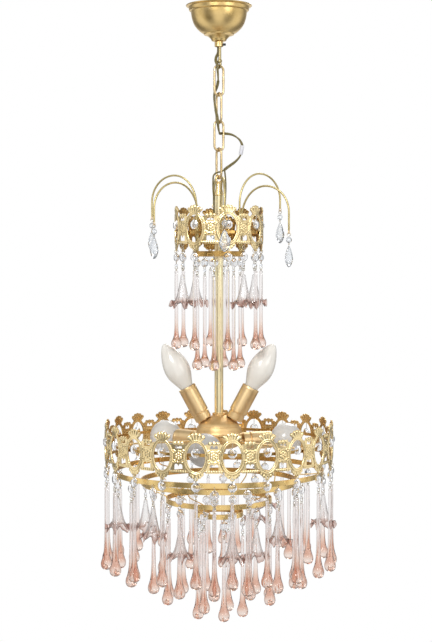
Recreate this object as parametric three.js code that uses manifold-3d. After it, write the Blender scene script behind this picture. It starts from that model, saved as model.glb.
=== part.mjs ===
// A hanging ring chandelier in gilt brass with clear and rose glass.
// Units are millimetres, +Z is up and the origin is the middle of the ceiling strap's top face.
// Everything hangs below the ceiling, so heights are negative.

import * as THREE from "three";
import { mergeVertices } from "three/addons/utils/BufferGeometryUtils.js";
import Module from "manifold-3d";

const wasm = await Module();
wasm.setup();

const DEG = Math.PI / 180;
const group = new THREE.Group();

// Fits
const SEAT_GAP = 0.3;
const BORE_CLEARANCE = 0.35;

// Ceiling fixing
const STRAP_LENGTH = 72;
const STRAP_WIDTH = 16;
const STRAP_THICKNESS = 3;
const STRAP_SCREW_SPACING = 52;
const STRAP_SCREW_HOLE = 4.5;
const BOSS_DIAMETER = 9;
const BOSS_HEIGHT = 7;
const ROD_DIAMETER = 4;
const ROD_OFFSET = 2.5;
const NUT_ACROSS_FLATS = 8;
const NUT_HEIGHT = 3.2;
const TERMINAL_SIZE = [15, 9, 11];

// Canopy
const CANOPY_RADIUS = 45;
const CANOPY_TOP = -2;
const CANOPY_HEIGHT = 49;
const CANOPY_WALL = 1.2;
const CANOPY_NECK_RADIUS = 9.5;
const COLLAR_RADIUS = 5.9;
const COLLAR_BORE_RADIUS = 4.75;
const COLLAR_HEIGHT = 7;
const GRUB_SCREW_DIAMETER = 3.2;
const GRUB_SCREW_REACH = 9.4;

// Chain
const WIRE = 3.2;
const LINK_WIDTH = 17;
const LINK_LENGTH = 44.2;
const LINK_COUNT = 4;
const CHAIN_TWIST = 28 * DEG;
const CHAIN_TOP = -87;
const EYE_WIDTH = 12.4;

// Stem
const STEM_DIAMETER = 12;
const STEM_WALL = 1;
const STEM_BOTTOM = -561;
const STEM_CONE_LENGTH = 17;
const STEM_CONE_TOP_DIAMETER = 7;

// Flex, a twin cord that forks into its two cores near the stem
const FLEX_DIAMETER = 4;
const CORE_DIAMETER = 2.3;
const SLEEVE_DIAMETER = 5.6;

// Stamped gallery strip, the same on both rings
const STRIP_PITCH = 46.5;
const STRIP_THICKNESS = 1.2;
const BORDER_RISE = 0.9;
const OVAL_WIDTH = 31;
const OVAL_HEIGHT = 45;
const OPENING_WIDTH = 23.4;
const OPENING_HEIGHT = 36.5;
const PLATE_TOP = 20;
const PLATE_BOTTOM = -20.5;
const FAN_TOP = 31.5;
const FAN_WIDTH = 24;
const TIP_BOTTOM = -30.5;
const TIP_HOLE = 2.4;
const TIP_HOLE_LEVEL = -27.6;

// Main ring
const MAIN_MEDALLIONS = 21;
const MAIN_ARCS = 3;
const MAIN_LEVEL = -600;
const MAIN_PHASE = 6.19 * DEG;
const HOOP_HEIGHT = 7;
const HOOP_THICKNESS = 1.4;
const SPOKE_COUNT = 3;
const SPOKE_PHASE = 49 * DEG;
const SPOKE_WIDTH = 8;

// Crown ring
const CROWN_MEDALLIONS = 8;
const CROWN_ARCS = 2;
const CROWN_LEVEL = -306.5;
const CROWN_PHASE = 11.5 * DEG;
const CROWN_LOWER_RADIUS = 36;
const CROWN_LOWER_LEVEL = -340;
const CROWN_SPOKE_PHASE = 34 * DEG;
const CROWN_COLLAR_RADIUS = 9;

// Arched wires with their crystals
const ARCH_COUNT = 6;
const ARCH_PHASE = 4 * DEG;
const ARCH_WIRE = 2.4;
const ARCH_TIP_RADIUS = 104;
const ARCH_FOOT_RISE = 20;
// Top and tip heights, in order from the one at the front toward +X
const ARCH_HEIGHTS = [[-240, -289], [-249, -309], [-228, -275], [-234, -268], [-231, -287], [-245, -298]];
const ARCH_LOOP_RADIUS = 2.3;
const ALMOND_WIDTH = 15;
const ALMOND_LENGTH = 29;
const ALMOND_BEAD = 8;

// Hub and lamps
const HUB_RADIUS = 32;
const HUB_TOP = STEM_BOTTOM;
const HUB_RIM_LEVEL = -588;
const HUB_WALL = 1.3;
const CUP_RADIUS = 29;
const CUP_HEIGHT = 19;
const HUB_ROD_DIAMETER = 10;
const HUB_NUT_HEIGHT = 9;
const HOLDER_DIAMETER = 24.5;
const CANDLE_HOLDER_LENGTH = 50;
const SIDE_HOLDER_LENGTH = 42;
const HOLDER_BORE_DIAMETER = 20;
const HOLDER_RECESS = 5;
const NIPPLE_DIAMETER = 10;
const LAMP_CAP_DIAMETER = 14;
const LAMP_CAP_LENGTH = 22;
const CANDLE_LAMP_TILT = 28 * DEG;
const CANDLE_LAMP_RADIUS = 20.7;
const CANDLE_LAMP_LEVEL = -567;
const CANDLE_BULB_DIAMETER = 35;
const CANDLE_BULB_LENGTH = 66;
const SIDE_LAMP_PHASE = -11 * DEG;
const SIDE_LAMP_COUNT = 3;
const SIDE_LAMP_LEVEL = -598;
const SIDE_HOLDER_START = 34;
const ROUND_BULB_DIAMETER = 45;
const ROUND_BULB_LENGTH = 46;

// Plain hoops below the main ring: radius and height of the middle of each strip
const DROP_RINGS = [[144, -638], [107.5, -652], [73, -677.5], [33.5, -697]];
const DROP_RING_HEIGHT = 7;
const DROP_RING_THICKNESS = 1.4;
const HANGER_WIRE = 1.6;
const HANGERS_PER_RING = 3;
const RING_HOLE = 2.4;
const RING_HOLE_RISE = 2.2;
const HANGER_PHASES = [30 * DEG, 97.5 * DEG, 37.5 * DEG, 97.5 * DEG];
const MAIN_HOOP_FACETS = 30;
const DROP_RING_FACETS = 24;

// Pendants: a hook ring, a cut bead, a small link and a long drop
const HOOK_RADIUS = 2.4;
const HOOK_WIRE = 1;
const PIN_DIAMETER = 1.2;
const PIN_SEAT = 1.3;
const BEAD_DIAMETER = 12.5;
const DROP_NECK_DIAMETER = 5.2;
const DROP_BULB_DIAMETER = 15;
const PENDANT_LENGTH = 142;
const BEAD_TO_DROP = 12;
const LOWEST_PENDANTS = 5;
const LOWEST_PHASE = 12 * DEG;
// How far the crown's drops hang below the tops of the candle lamps
const CROWN_DROP_OVERLAP = 6.2;
const CROWN_INNER_OVERLAP = 34.6;
// Inner strings hang midway between the crown's pendants, and none next to a candle lamp
const CROWN_INNER_PLACES = [0, 2, 3, 4, 6, 7];

// Bell flowers hang among the drops, narrow at the top and open below
const BELL_HEIGHT = 41;
const BELL_RIM_DIAMETER = 33;
const BELL_THROAT_DIAMETER = 20;
const BELL_WALL = 1.3;
const BELL_LENGTH = 70;
const CROWN_BELLS = 4;
const CROWN_BELL_LENGTH = 84;
const CROWN_BELL_LEAD = 8.6;
const CROWN_BELL_LEVEL = -18.6;

// What hangs at each place round the first three hoops: d a drop, b a bell, - nothing
const HOOP_STRINGS = ["ddd-b-ddbdd--dddbdb-d", "bdd-bdddb-dddd", "bdbbdddddddd"];
const HOOP_STRING_PHASES = [MAIN_PHASE + Math.PI / MAIN_MEDALLIONS, 48 * DEG, -46 * DEG];

const BRASS = { color: 0xc9a052, metalness: 0.9, roughness: 0.35 };
const DARK_BRASS = { color: 0xb8893d, metalness: 0.9, roughness: 0.4 };
const STEEL = { color: 0xb9b9b4, metalness: 0.9, roughness: 0.4 };
const BLACK = { color: 0x1b1b1b, metalness: 0.6, roughness: 0.5 };
const FLEX_COLOUR = { color: 0x6d6032, metalness: 0, roughness: 0.7 };
const WHITE = { color: 0xe9e9ee, metalness: 0, roughness: 0.6 };
const FROSTED = { color: 0xefece2, metalness: 0, roughness: 0.3 };
const CLEAR_GLASS = { color: 0xe6f0f2, metalness: 0, roughness: 0.05 };
const ROSE_GLASS = { color: 0xe7a596, metalness: 0, roughness: 0.08 };

// Shared geometry helpers

function signedVolume(position, index) {
  const a = new THREE.Vector3();
  const b = new THREE.Vector3();
  const c = new THREE.Vector3();
  let volume = 0;
  for (let i = 0; i < index.count; i += 3) {
    a.fromBufferAttribute(position, index.getX(i));
    b.fromBufferAttribute(position, index.getX(i + 1));
    c.fromBufferAttribute(position, index.getX(i + 2));
    volume += a.dot(b.cross(c)) / 6;
  }
  return volume;
}

// One closed, outward facing mesh with shared vertices and without empty triangles
function weld(geometry) {
  const plain = geometry.clone();
  plain.deleteAttribute("normal");
  plain.deleteAttribute("uv");
  const merged = mergeVertices(plain, 1e-4);
  const corners = [];
  for (let i = 0; i < merged.index.count; i += 3) {
    const [a, b, c] = [0, 1, 2].map((k) => merged.index.getX(i + k));
    if (a !== b && b !== c && c !== a) corners.push(a, b, c);
  }
  merged.setIndex(corners);
  if (signedVolume(merged.attributes.position, merged.index) < 0) {
    for (let i = 0; i < corners.length; i += 3) {
      [corners[i], corners[i + 1]] = [corners[i + 1], corners[i]];
    }
    merged.setIndex(corners);
  }
  return merged;
}

function toSolid(geometry) {
  const welded = weld(geometry);
  const vertProperties = new Float32Array(welded.attributes.position.array);
  const triVerts = new Uint32Array(welded.index.array);
  return new wasm.Manifold(new wasm.Mesh({ numProp: 3, vertProperties, triVerts }));
}

function fromSolid(solid) {
  const mesh = solid.getMesh();
  const geometry = new THREE.BufferGeometry();
  geometry.setAttribute("position", new THREE.BufferAttribute(mesh.vertProperties, 3));
  geometry.setIndex(new THREE.BufferAttribute(mesh.triVerts, 1));
  return geometry;
}

function join(...geometries) {
  return fromSolid(geometries.map(toSolid).reduce((sum, solid) => sum.add(solid)));
}

function cut(body, ...tools) {
  return fromSolid(tools.map(toSolid).reduce((sum, solid) => sum.subtract(solid), toSolid(body)));
}

function add(name, geometry, look) {
  const mesh = new THREE.Mesh(weld(geometry), new THREE.MeshStandardMaterial(look));
  mesh.geometry.computeVertexNormals();
  mesh.name = name;
  group.add(mesh);
  return mesh;
}

// A turned shape about Z from [radius, height] points that start and end on the axis or close
function turned(profile, segments = 24) {
  const points = profile.map(([radius, height]) => new THREE.Vector2(radius, height));
  return new THREE.LatheGeometry(points, segments).rotateX(Math.PI / 2);
}

function cylinder(radius, bottom, top, segments = 16) {
  return turned([[0, bottom], [radius, bottom], [radius, top], [0, top]], segments);
}

// A tube of wall thickness with open ends
function pipe(outer, inner, bottom, top, segments = 24) {
  return turned([[inner, bottom], [outer, bottom], [outer, top], [inner, top], [inner, bottom]], segments);
}

function box(width, depth, height, x, y, z) {
  return new THREE.BoxGeometry(width, depth, height).translate(x, y, z);
}

// A round bar along open points
function bar(points, diameter, sides = 8, steps = 24) {
  const curve = new THREE.CatmullRomCurve3(points, false, "centripetal");
  const section = new THREE.Shape();
  for (let i = 0; i < sides; i += 1) {
    const angle = (2 * Math.PI * i) / sides;
    const x = (Math.cos(angle) * diameter) / 2;
    const y = (Math.sin(angle) * diameter) / 2;
    if (i === 0) section.moveTo(x, y);
    else section.lineTo(x, y);
  }
  section.closePath();
  return new THREE.ExtrudeGeometry(section, { steps, extrudePath: curve });
}

// A closed wire loop in the vertical plane through direction, from points [along, height]
function wireLoop(outline, direction, diameter, sides = 6) {
  const along = new THREE.Vector3(direction.x, direction.y, 0);
  const up = new THREE.Vector3(0, 0, 1);
  const across = new THREE.Vector3().crossVectors(along, up);
  const count = outline.length;
  const positions = [];
  const index = [];
  for (let i = 0; i < count; i += 1) {
    const before = outline[(i + count - 1) % count];
    const after = outline[(i + 1) % count];
    const tangent = new THREE.Vector2(after[0] - before[0], after[1] - before[1]).normalize();
    const centre = along.clone().multiplyScalar(outline[i][0]).addScaledVector(up, outline[i][1]);
    const normal = along.clone().multiplyScalar(tangent.y).addScaledVector(up, -tangent.x);
    for (let k = 0; k < sides; k += 1) {
      const angle = (2 * Math.PI * (k + 0.5)) / sides;
      const point = centre.clone();
      point.addScaledVector(normal, (Math.cos(angle) * diameter) / 2);
      point.addScaledVector(across, (Math.sin(angle) * diameter) / 2);
      positions.push(point.x, point.y, point.z);
      const here = i * sides;
      const next = ((i + 1) % count) * sides;
      const turn = (k + 1) % sides;
      index.push(here + k, next + k, next + turn, here + k, next + turn, here + turn);
    }
  }
  const geometry = new THREE.BufferGeometry();
  geometry.setAttribute("position", new THREE.Float32BufferAttribute(positions, 3));
  geometry.setIndex(index);
  return geometry;
}

// Angle 0 faces the front, -Y, and grows toward +X
function polar(radius, angle, height = 0) {
  return new THREE.Vector3(radius * Math.sin(angle), -radius * Math.cos(angle), height);
}

// Ceiling strap, hanger rod and canopy

const chainAlong = new THREE.Vector2(Math.cos(CHAIN_TWIST), Math.sin(CHAIN_TWIST));
const chainAcross = new THREE.Vector2(-Math.sin(CHAIN_TWIST), Math.cos(CHAIN_TWIST));
const rodAt = chainAcross.clone().multiplyScalar(-ROD_OFFSET);
const rodRadius = ROD_DIAMETER / 2;
const flexRadius = FLEX_DIAMETER / 2;
const strapBottom = -STRAP_THICKNESS;
const bossBottom = strapBottom - BOSS_HEIGHT;
const nutTop = bossBottom - SEAT_GAP;
const eyeRadius = (EYE_WIDTH - WIRE) / 2;
const eyeLevel = CHAIN_TOP + eyeRadius;

function chainPoint(along, across, height) {
  const x = chainAlong.x * along + chainAcross.x * across;
  const y = chainAlong.y * along + chainAcross.y * across;
  return new THREE.Vector3(x, y, height);
}

function makeStrap() {
  const plate = box(STRAP_LENGTH, STRAP_WIDTH, STRAP_THICKNESS, 0, 0, -STRAP_THICKNESS / 2);
  const boss = cylinder(BOSS_DIAMETER / 2, bossBottom, strapBottom + 0.5).translate(rodAt.x, rodAt.y, 0);
  const bore = cylinder(rodRadius + BORE_CLEARANCE, bossBottom - 1, strapBottom);
  bore.translate(rodAt.x, rodAt.y, 0);
  const holes = [-1, 1].map((side) => {
    const hole = cylinder(STRAP_SCREW_HOLE / 2, -STRAP_THICKNESS - 1, 1, 12);
    return hole.translate((side * STRAP_SCREW_SPACING) / 2, 0, 0);
  });
  return cut(join(plate, boss), bore, ...holes);
}

function circleOutline(radius, level, steps) {
  return Array.from({ length: steps }, (_, i) => {
    const angle = (2 * Math.PI * i) / steps;
    return [radius * Math.sin(angle), level + radius * Math.cos(angle)];
  });
}

function makeRod() {
  const shank = cylinder(rodRadius, eyeLevel + eyeRadius * 0.6, strapBottom - SEAT_GAP, 10);
  shank.translate(rodAt.x, rodAt.y, 0);
  const eye = wireLoop(circleOutline(eyeRadius, eyeLevel, 10), chainAcross, WIRE, 6);
  return join(shank, eye);
}

function makeNut() {
  const hex = turned(
    [[0, nutTop - NUT_HEIGHT], [NUT_ACROSS_FLATS / Math.sqrt(3), nutTop - NUT_HEIGHT],
      [NUT_ACROSS_FLATS / Math.sqrt(3), nutTop], [0, nutTop]],
    6,
  );
  const bore = cylinder(rodRadius + BORE_CLEARANCE, nutTop - NUT_HEIGHT - 1, nutTop + 1, 12);
  return cut(hex, bore).translate(rodAt.x, rodAt.y, 0);
}

const canopyBottom = CANOPY_TOP - CANOPY_HEIGHT;

// Outer outline of the bowl as [share of rim radius, height below the rim]
function makeCanopy() {
  const bandRadius = CANOPY_RADIUS - 4.3;
  const bowlRadius = CANOPY_RADIUS - 7;
  const beadRadius = CANOPY_RADIUS * 0.42;
  const ledge = CANOPY_TOP - 8.4;
  const beadLevel = canopyBottom + 9.5;
  const outer = [
    [CANOPY_RADIUS, CANOPY_TOP],
    [CANOPY_RADIUS, CANOPY_TOP - CANOPY_WALL],
    [bandRadius, CANOPY_TOP - 2.6],
    [bandRadius, ledge + 1],
    [bandRadius - 0.8, ledge],
    [bowlRadius, ledge - 0.8],
  ];
  const bowlSteps = 4;
  for (let i = 1; i <= bowlSteps; i += 1) {
    const angle = (i / bowlSteps) * 64 * DEG;
    const radius = beadRadius + ((bowlRadius - beadRadius) * (Math.cos(angle) - Math.cos(64 * DEG))) /
      (1 - Math.cos(64 * DEG));
    const height = ledge - 0.8 + ((beadLevel - ledge + 0.8) * Math.sin(angle)) / Math.sin(64 * DEG);
    outer.push([radius, height]);
  }
  outer.push([beadRadius - 1.2, beadLevel - 1.6]);
  outer.push([CANOPY_NECK_RADIUS + 2.6, canopyBottom + 4.6]);
  outer.push([CANOPY_NECK_RADIUS, canopyBottom + 3]);
  outer.push([CANOPY_NECK_RADIUS - 0.6, canopyBottom]);
  const mouth = COLLAR_BORE_RADIUS;
  const innerSteps = [3, 6, 8].map((i) => outer[i]);
  const inner = innerSteps.map(([radius, height]) => [radius - CANOPY_WALL, height + CANOPY_WALL]);
  const profile = [
    ...outer,
    [mouth, canopyBottom],
    [mouth, canopyBottom + CANOPY_WALL],
    [CANOPY_NECK_RADIUS - CANOPY_WALL, canopyBottom + 3.4],
    ...inner.reverse(),
    [bandRadius - CANOPY_WALL, CANOPY_TOP],
    outer[0],
  ];
  return turned(profile, 18);
}

const collarTop = canopyBottom - SEAT_GAP;
const collarBottom = collarTop - COLLAR_HEIGHT;
const screwLevel = collarTop - COLLAR_HEIGHT * 0.6;

function screwBar(radius, from, to) {
  return cylinder(radius, from, to, 10).rotateY(Math.PI / 2).translate(0, rodAt.y, screwLevel);
}

function makeCollar() {
  const ring = pipe(COLLAR_RADIUS, COLLAR_BORE_RADIUS, collarBottom, collarTop, 16);
  return cut(ring, screwBar(GRUB_SCREW_DIAMETER / 2 + BORE_CLEARANCE, 0.5, GRUB_SCREW_REACH + 5));
}

function makeGrubScrew() {
  return screwBar(GRUB_SCREW_DIAMETER / 2, rodAt.x + rodRadius + SEAT_GAP, GRUB_SCREW_REACH);
}

const terminalTop = strapBottom - SEAT_GAP;
const [terminalLength, terminalDepth, terminalHeight] = TERMINAL_SIZE;
const terminalAt = chainAcross.clone().multiplyScalar(flexRadius + terminalDepth / 2 + 1.2);

add("ceiling_strap", makeStrap(), STEEL);
add("hanger_rod", makeRod(), BRASS);
add("hanger_nut", makeNut(), STEEL);
add(
  "terminal_block",
  box(terminalLength, terminalDepth, terminalHeight, 0, 0, 0)
    .rotateZ(CHAIN_TWIST)
    .translate(terminalAt.x, terminalAt.y, terminalTop - terminalHeight / 2),
  WHITE,
);
add("canopy", makeCanopy(), DARK_BRASS);
add("canopy_collar", makeCollar(), BRASS);
add("grub_screw", makeGrubScrew(), BLACK);

// Chain

const linkBend = (LINK_WIDTH - WIRE) / 2;
const linkPitch = LINK_LENGTH - 2 * WIRE - SEAT_GAP;
const linkSpan = LINK_LENGTH - WIRE;

// Points round a link, [along, height], each bend in arcSteps and each side in two
function linkOutline(top) {
  const arcSteps = 5;
  const upper = top - linkBend;
  const lower = top - linkSpan + linkBend;
  const points = [];
  for (let i = 0; i <= arcSteps; i += 1) {
    const angle = (Math.PI * i) / arcSteps;
    points.push([linkBend * Math.cos(angle), upper + linkBend * Math.sin(angle)]);
  }
  points.push([-linkBend, (upper + lower) / 2]);
  for (let i = 0; i <= arcSteps; i += 1) {
    const angle = Math.PI + (Math.PI * i) / arcSteps;
    points.push([linkBend * Math.cos(angle), lower + linkBend * Math.sin(angle)]);
  }
  points.push([linkBend, (upper + lower) / 2]);
  return points;
}

const linkTops = Array.from({ length: LINK_COUNT }, (_, i) => CHAIN_TOP + WIRE + SEAT_GAP - i * linkPitch);
linkTops.forEach((top, i) => {
  const direction = i % 2 === 0 ? chainAlong : chainAcross;
  add(`chain_link_${i + 1}`, wireLoop(linkOutline(top), direction, WIRE, 6), BRASS);
});
const chainBottom = linkTops[LINK_COUNT - 1] - linkSpan;

// Stem with its eye

const stemEyeTop = chainBottom + WIRE + SEAT_GAP;
const stemEyeLevel = stemEyeTop - eyeRadius;
const coneTop = stemEyeLevel - eyeRadius - WIRE / 2 + 0.8;
const stemTop = coneTop - STEM_CONE_LENGTH;
const stemRadius = STEM_DIAMETER / 2;
const stemEyeDirection = LINK_COUNT % 2 === 0 ? chainAlong : chainAcross;

function makeStemHook() {
  const eye = wireLoop(circleOutline(eyeRadius, stemEyeLevel, 10), stemEyeDirection, WIRE, 6);
  const tenon = stemRadius - STEM_WALL - BORE_CLEARANCE;
  const cone = turned(
    [[0, stemTop - 6], [tenon, stemTop - 6], [tenon, stemTop], [stemRadius, stemTop],
      [stemRadius, stemTop + 3], [STEM_CONE_TOP_DIAMETER / 2, coneTop], [0, coneTop]],
    12,
  );
  return join(eye, cone);
}

const coreHoleRadius = CORE_DIAMETER / 2 + BORE_CLEARANCE;
const leftCoreHole = -286;
const rightCoreHole = -292;
const leftCoreAngle = 238 * DEG;
const rightCoreAngle = 97 * DEG;

function radialBar(radius, from, to, angle, level, segments = 10) {
  const geometry = cylinder(radius, from, to, segments).rotateX(Math.PI / 2);
  return geometry.rotateZ(angle).translate(0, 0, level);
}

function makeStemTube() {
  const tube = pipe(stemRadius, stemRadius - STEM_WALL, STEM_BOTTOM - 6, stemTop - SEAT_GAP, 16);
  return cut(
    tube,
    radialBar(coreHoleRadius, stemRadius - 3, stemRadius + 3, leftCoreAngle, leftCoreHole),
    radialBar(coreHoleRadius, stemRadius - 3, stemRadius + 3, rightCoreAngle, rightCoreHole),
  );
}

add("stem_hook", makeStemHook(), BRASS);
add("stem_tube", makeStemTube(), BRASS);

// Flex: chosen points along its route, as chainPoint(along, across, height) or world points

const upperRoute = [
  new THREE.Vector3(terminalAt.x, terminalAt.y, terminalTop - terminalHeight - SEAT_GAP),
  chainPoint(0, flexRadius + 5, -20),
  chainPoint(0, flexRadius + 1.6, -28),
  chainPoint(0, flexRadius + 0.4, -38),
  chainPoint(0, flexRadius + 0.4, -52),
  chainPoint(0, flexRadius + 0.4, -66),
  chainPoint(-3.1, 2.2, -72.5),
  chainPoint(-4.7, 0.2, -77.5),
  chainPoint(-4.7, -3.2, -82.5),
  chainPoint(-4.4, -4.2, -90),
  chainPoint(-3.2, -3.4, -98),
  chainPoint(-1.4, 0, -106),
  chainPoint(-1.4, 3.8, -113),
  chainPoint(-4.3, 4.8, -121),
  chainPoint(-4.7, 4.2, -134),
  chainPoint(-4.6, 0, -146),
  chainPoint(-4.5, -4.2, -156),
  chainPoint(-3.9, -4.4, -164),
  chainPoint(-1.8, -2.6, -171),
  chainPoint(0.8, 0.6, -174.5),
  chainPoint(3.6, 4.2, -175.3),
  chainPoint(8, 5.4, -175),
  new THREE.Vector3(16, 6.5, -176.4),
  new THREE.Vector3(23, 6.5, -179.5),
  new THREE.Vector3(28.6, 6, -184.4),
  new THREE.Vector3(31.6, 5.5, -190.5),
];
const sleeveRoute = [
  new THREE.Vector3(31.9, 5.4, -191.8),
  new THREE.Vector3(29.6, 5, -204.4),
];
const lowerRoute = [
  new THREE.Vector3(29.2, 4.9, -205.8),
  new THREE.Vector3(23.4, 4, -213),
  new THREE.Vector3(16.2, 3, -218.6),
  new THREE.Vector3(10.4, 1.8, -222.8),
  new THREE.Vector3(7.2, 1.4, -225.4),
];
const fork = new THREE.Vector3(7.6, 1.4, -225.1);
const leftCoreRoute = [
  fork,
  chainPoint(2.6, -0.4, -228),
  chainPoint(-0.6, 0, -228.4),
  chainPoint(-4, 0.8, -229.6),
  chainPoint(-6.9, 2.4, -233),
  chainPoint(-7.2, 3.6, -240),
  chainPoint(-7.2, 3.4, -252),
  polar(8, leftCoreAngle, -266),
  polar(8.2, leftCoreAngle, -280),
  polar(8.4, leftCoreAngle, -284),
  polar(stemRadius + 0.5, leftCoreAngle, leftCoreHole),
];
const rightCoreRoute = [
  fork,
  new THREE.Vector3(8.4, 1.4, -231),
  new THREE.Vector3(9, 1.4, -238),
  new THREE.Vector3(9.4, 1.4, -247),
  new THREE.Vector3(9.2, 1.4, -257),
  polar(8.6, rightCoreAngle, -270),
  polar(8.4, rightCoreAngle, -285),
  polar(8.6, rightCoreAngle, -290),
  polar(stemRadius + 0.5, rightCoreAngle, rightCoreHole),
];

add("flex_upper", bar(upperRoute, FLEX_DIAMETER, 8, 34), FLEX_COLOUR);
add("flex_sleeve", bar(sleeveRoute, SLEEVE_DIAMETER, 8, 2), WHITE);
add(
  "flex_lower",
  join(
    bar(lowerRoute, FLEX_DIAMETER, 8, 6),
    bar(leftCoreRoute, CORE_DIAMETER, 5, 14),
    bar(rightCoreRoute, CORE_DIAMETER, 5, 10),
  ),
  FLEX_COLOUR,
);

// Strings of glass: a bead on a pin above a long drop or a bell flower, along -Z below the origin

const pinRadius = PIN_DIAMETER / 2;
const beadRadius = BEAD_DIAMETER / 2;

// From the bead's lower end to the top of the pin, with the bead lowered by lead
function beadProfile(top, lead) {
  const middle = -lead - 2 * HOOK_RADIUS - beadRadius + 0.3;
  return [
    [pinRadius, middle - beadRadius],
    [beadRadius, middle],
    [pinRadius, middle + beadRadius],
    [pinRadius, top],
    [0, top],
  ];
}

function makeDropString(length, top) {
  const hanging = beadProfile(top, 0);
  const dropTop = hanging[0][1] - BEAD_TO_DROP;
  const neck = DROP_NECK_DIAMETER / 2;
  const bulb = DROP_BULB_DIAMETER / 2;
  return turned([
    [0, -length],
    [bulb, -length + bulb * 0.9],
    [neck, -length + bulb * 3.2],
    [neck * 0.8, dropTop - 3],
    [pinRadius, dropTop],
    ...hanging,
  ], 4);
}

function makeBellString(length, lead) {
  const bellTop = BELL_HEIGHT - length;
  const rim = BELL_RIM_DIAMETER / 2;
  const throat = BELL_THROAT_DIAMETER / 2;
  return turned([
    [0, bellTop - BELL_HEIGHT * 0.3],
    [throat - BELL_WALL, bellTop - BELL_HEIGHT * 0.9],
    [rim - BELL_WALL, -length],
    [rim, BELL_WALL - length],
    [throat, bellTop - BELL_HEIGHT * 0.87],
    [throat * 0.33, bellTop - BELL_HEIGHT * 0.17],
    [pinRadius, bellTop],
    ...beadProfile(0, lead),
  ], 6);
}

function placeString(geometry, radius, level, angle) {
  return geometry.translate(0, -radius, level).rotateZ(angle);
}

// Radius of a flat between two corners of a ring that are span apart, at turn from the flat's middle
function flatRadius(radius, span, turn) {
  return (radius * Math.cos(span / 2)) / Math.cos(turn);
}

function wrapped(angle) {
  return THREE.MathUtils.euclideanModulo(angle, 2 * Math.PI);
}

// Middle of a faceted hoop's strip at an angle
function stripMiddle(outer, thickness, facets, angle) {
  const span = (2 * Math.PI) / facets;
  return flatRadius(outer - thickness / 2, span, (wrapped(angle) % span) - span / 2);
}

// Stamped gallery strip: one cell drawn flat as [along, up], then bent onto its ring

const OVAL_STEPS = 10;
const PLATE_EDGE = 9.5;
const seamAt = OVAL_WIDTH / 2 + 0.5;

function ovalPoints(width, height) {
  return Array.from({ length: OVAL_STEPS }, (_, i) => {
    const angle = (2 * Math.PI * (i + 0.5)) / OVAL_STEPS;
    return new THREE.Vector2((width / 2) * Math.cos(angle), (height / 2) * Math.sin(angle));
  });
}

// Outline of one medallion with the plate on its right, anticlockwise from the lower left seam
function cellOutline() {
  const halfFan = FAN_WIDTH / 2;
  const plateMiddle = STRIP_PITCH / 2;
  const plateEnd = STRIP_PITCH - seamAt;
  const notch = halfFan - 1;
  const bottom = [
    [-seamAt, PLATE_BOTTOM],
    [-PLATE_EDGE, PLATE_BOTTOM - 0.6],
    [-2.4, TIP_BOTTOM + 0.4],
    [2.4, TIP_BOTTOM + 0.4],
    [PLATE_EDGE, PLATE_BOTTOM - 0.6],
    [plateEnd, PLATE_BOTTOM],
  ];
  const top = [
    [plateEnd, PLATE_TOP - 2.4],
    [plateMiddle + 3, PLATE_TOP],
    [plateMiddle - 3, PLATE_TOP],
    [notch, PLATE_TOP - 3.2],
    [7.6, OVAL_HEIGHT / 2 + 0.4],
    [halfFan, FAN_TOP - 4],
    [4.2, FAN_TOP - 1.2],
    [0, FAN_TOP],
    [-4.2, FAN_TOP - 1.2],
    [-halfFan, FAN_TOP - 4],
    [-7.6, OVAL_HEIGHT / 2 + 0.4],
    [-notch, PLATE_TOP - 3.2],
    [-seamAt, PLATE_TOP - 2.4],
  ];
  return [...bottom, ...top].map(([x, y]) => new THREE.Vector2(x, y));
}

// Openings in the plate: a slot with two round lobes above, a two-lobed window below, and the tip's hole
function cellHoles() {
  const middle = STRIP_PITCH / 2;
  const slot = [[-5.2, 11], [5.2, 11], [4, 15.2], [0, 13], [-4, 15.2]];
  const window = [[-5.6, -16.6], [5.6, -16.6], [4.2, -8.8], [0, -10.8], [-4.2, -8.8]];
  const tip = Array.from({ length: 4 }, (_, i) => {
    const angle = (2 * Math.PI * (i + 0.5)) / 4;
    const radius = TIP_HOLE / 2;
    return [radius * Math.cos(angle) - middle, TIP_HOLE_LEVEL + radius * Math.sin(angle)];
  });
  return [slot, window, tip].map((hole) => hole.map(([x, y]) => new THREE.Vector2(middle + x, y)));
}

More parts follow.
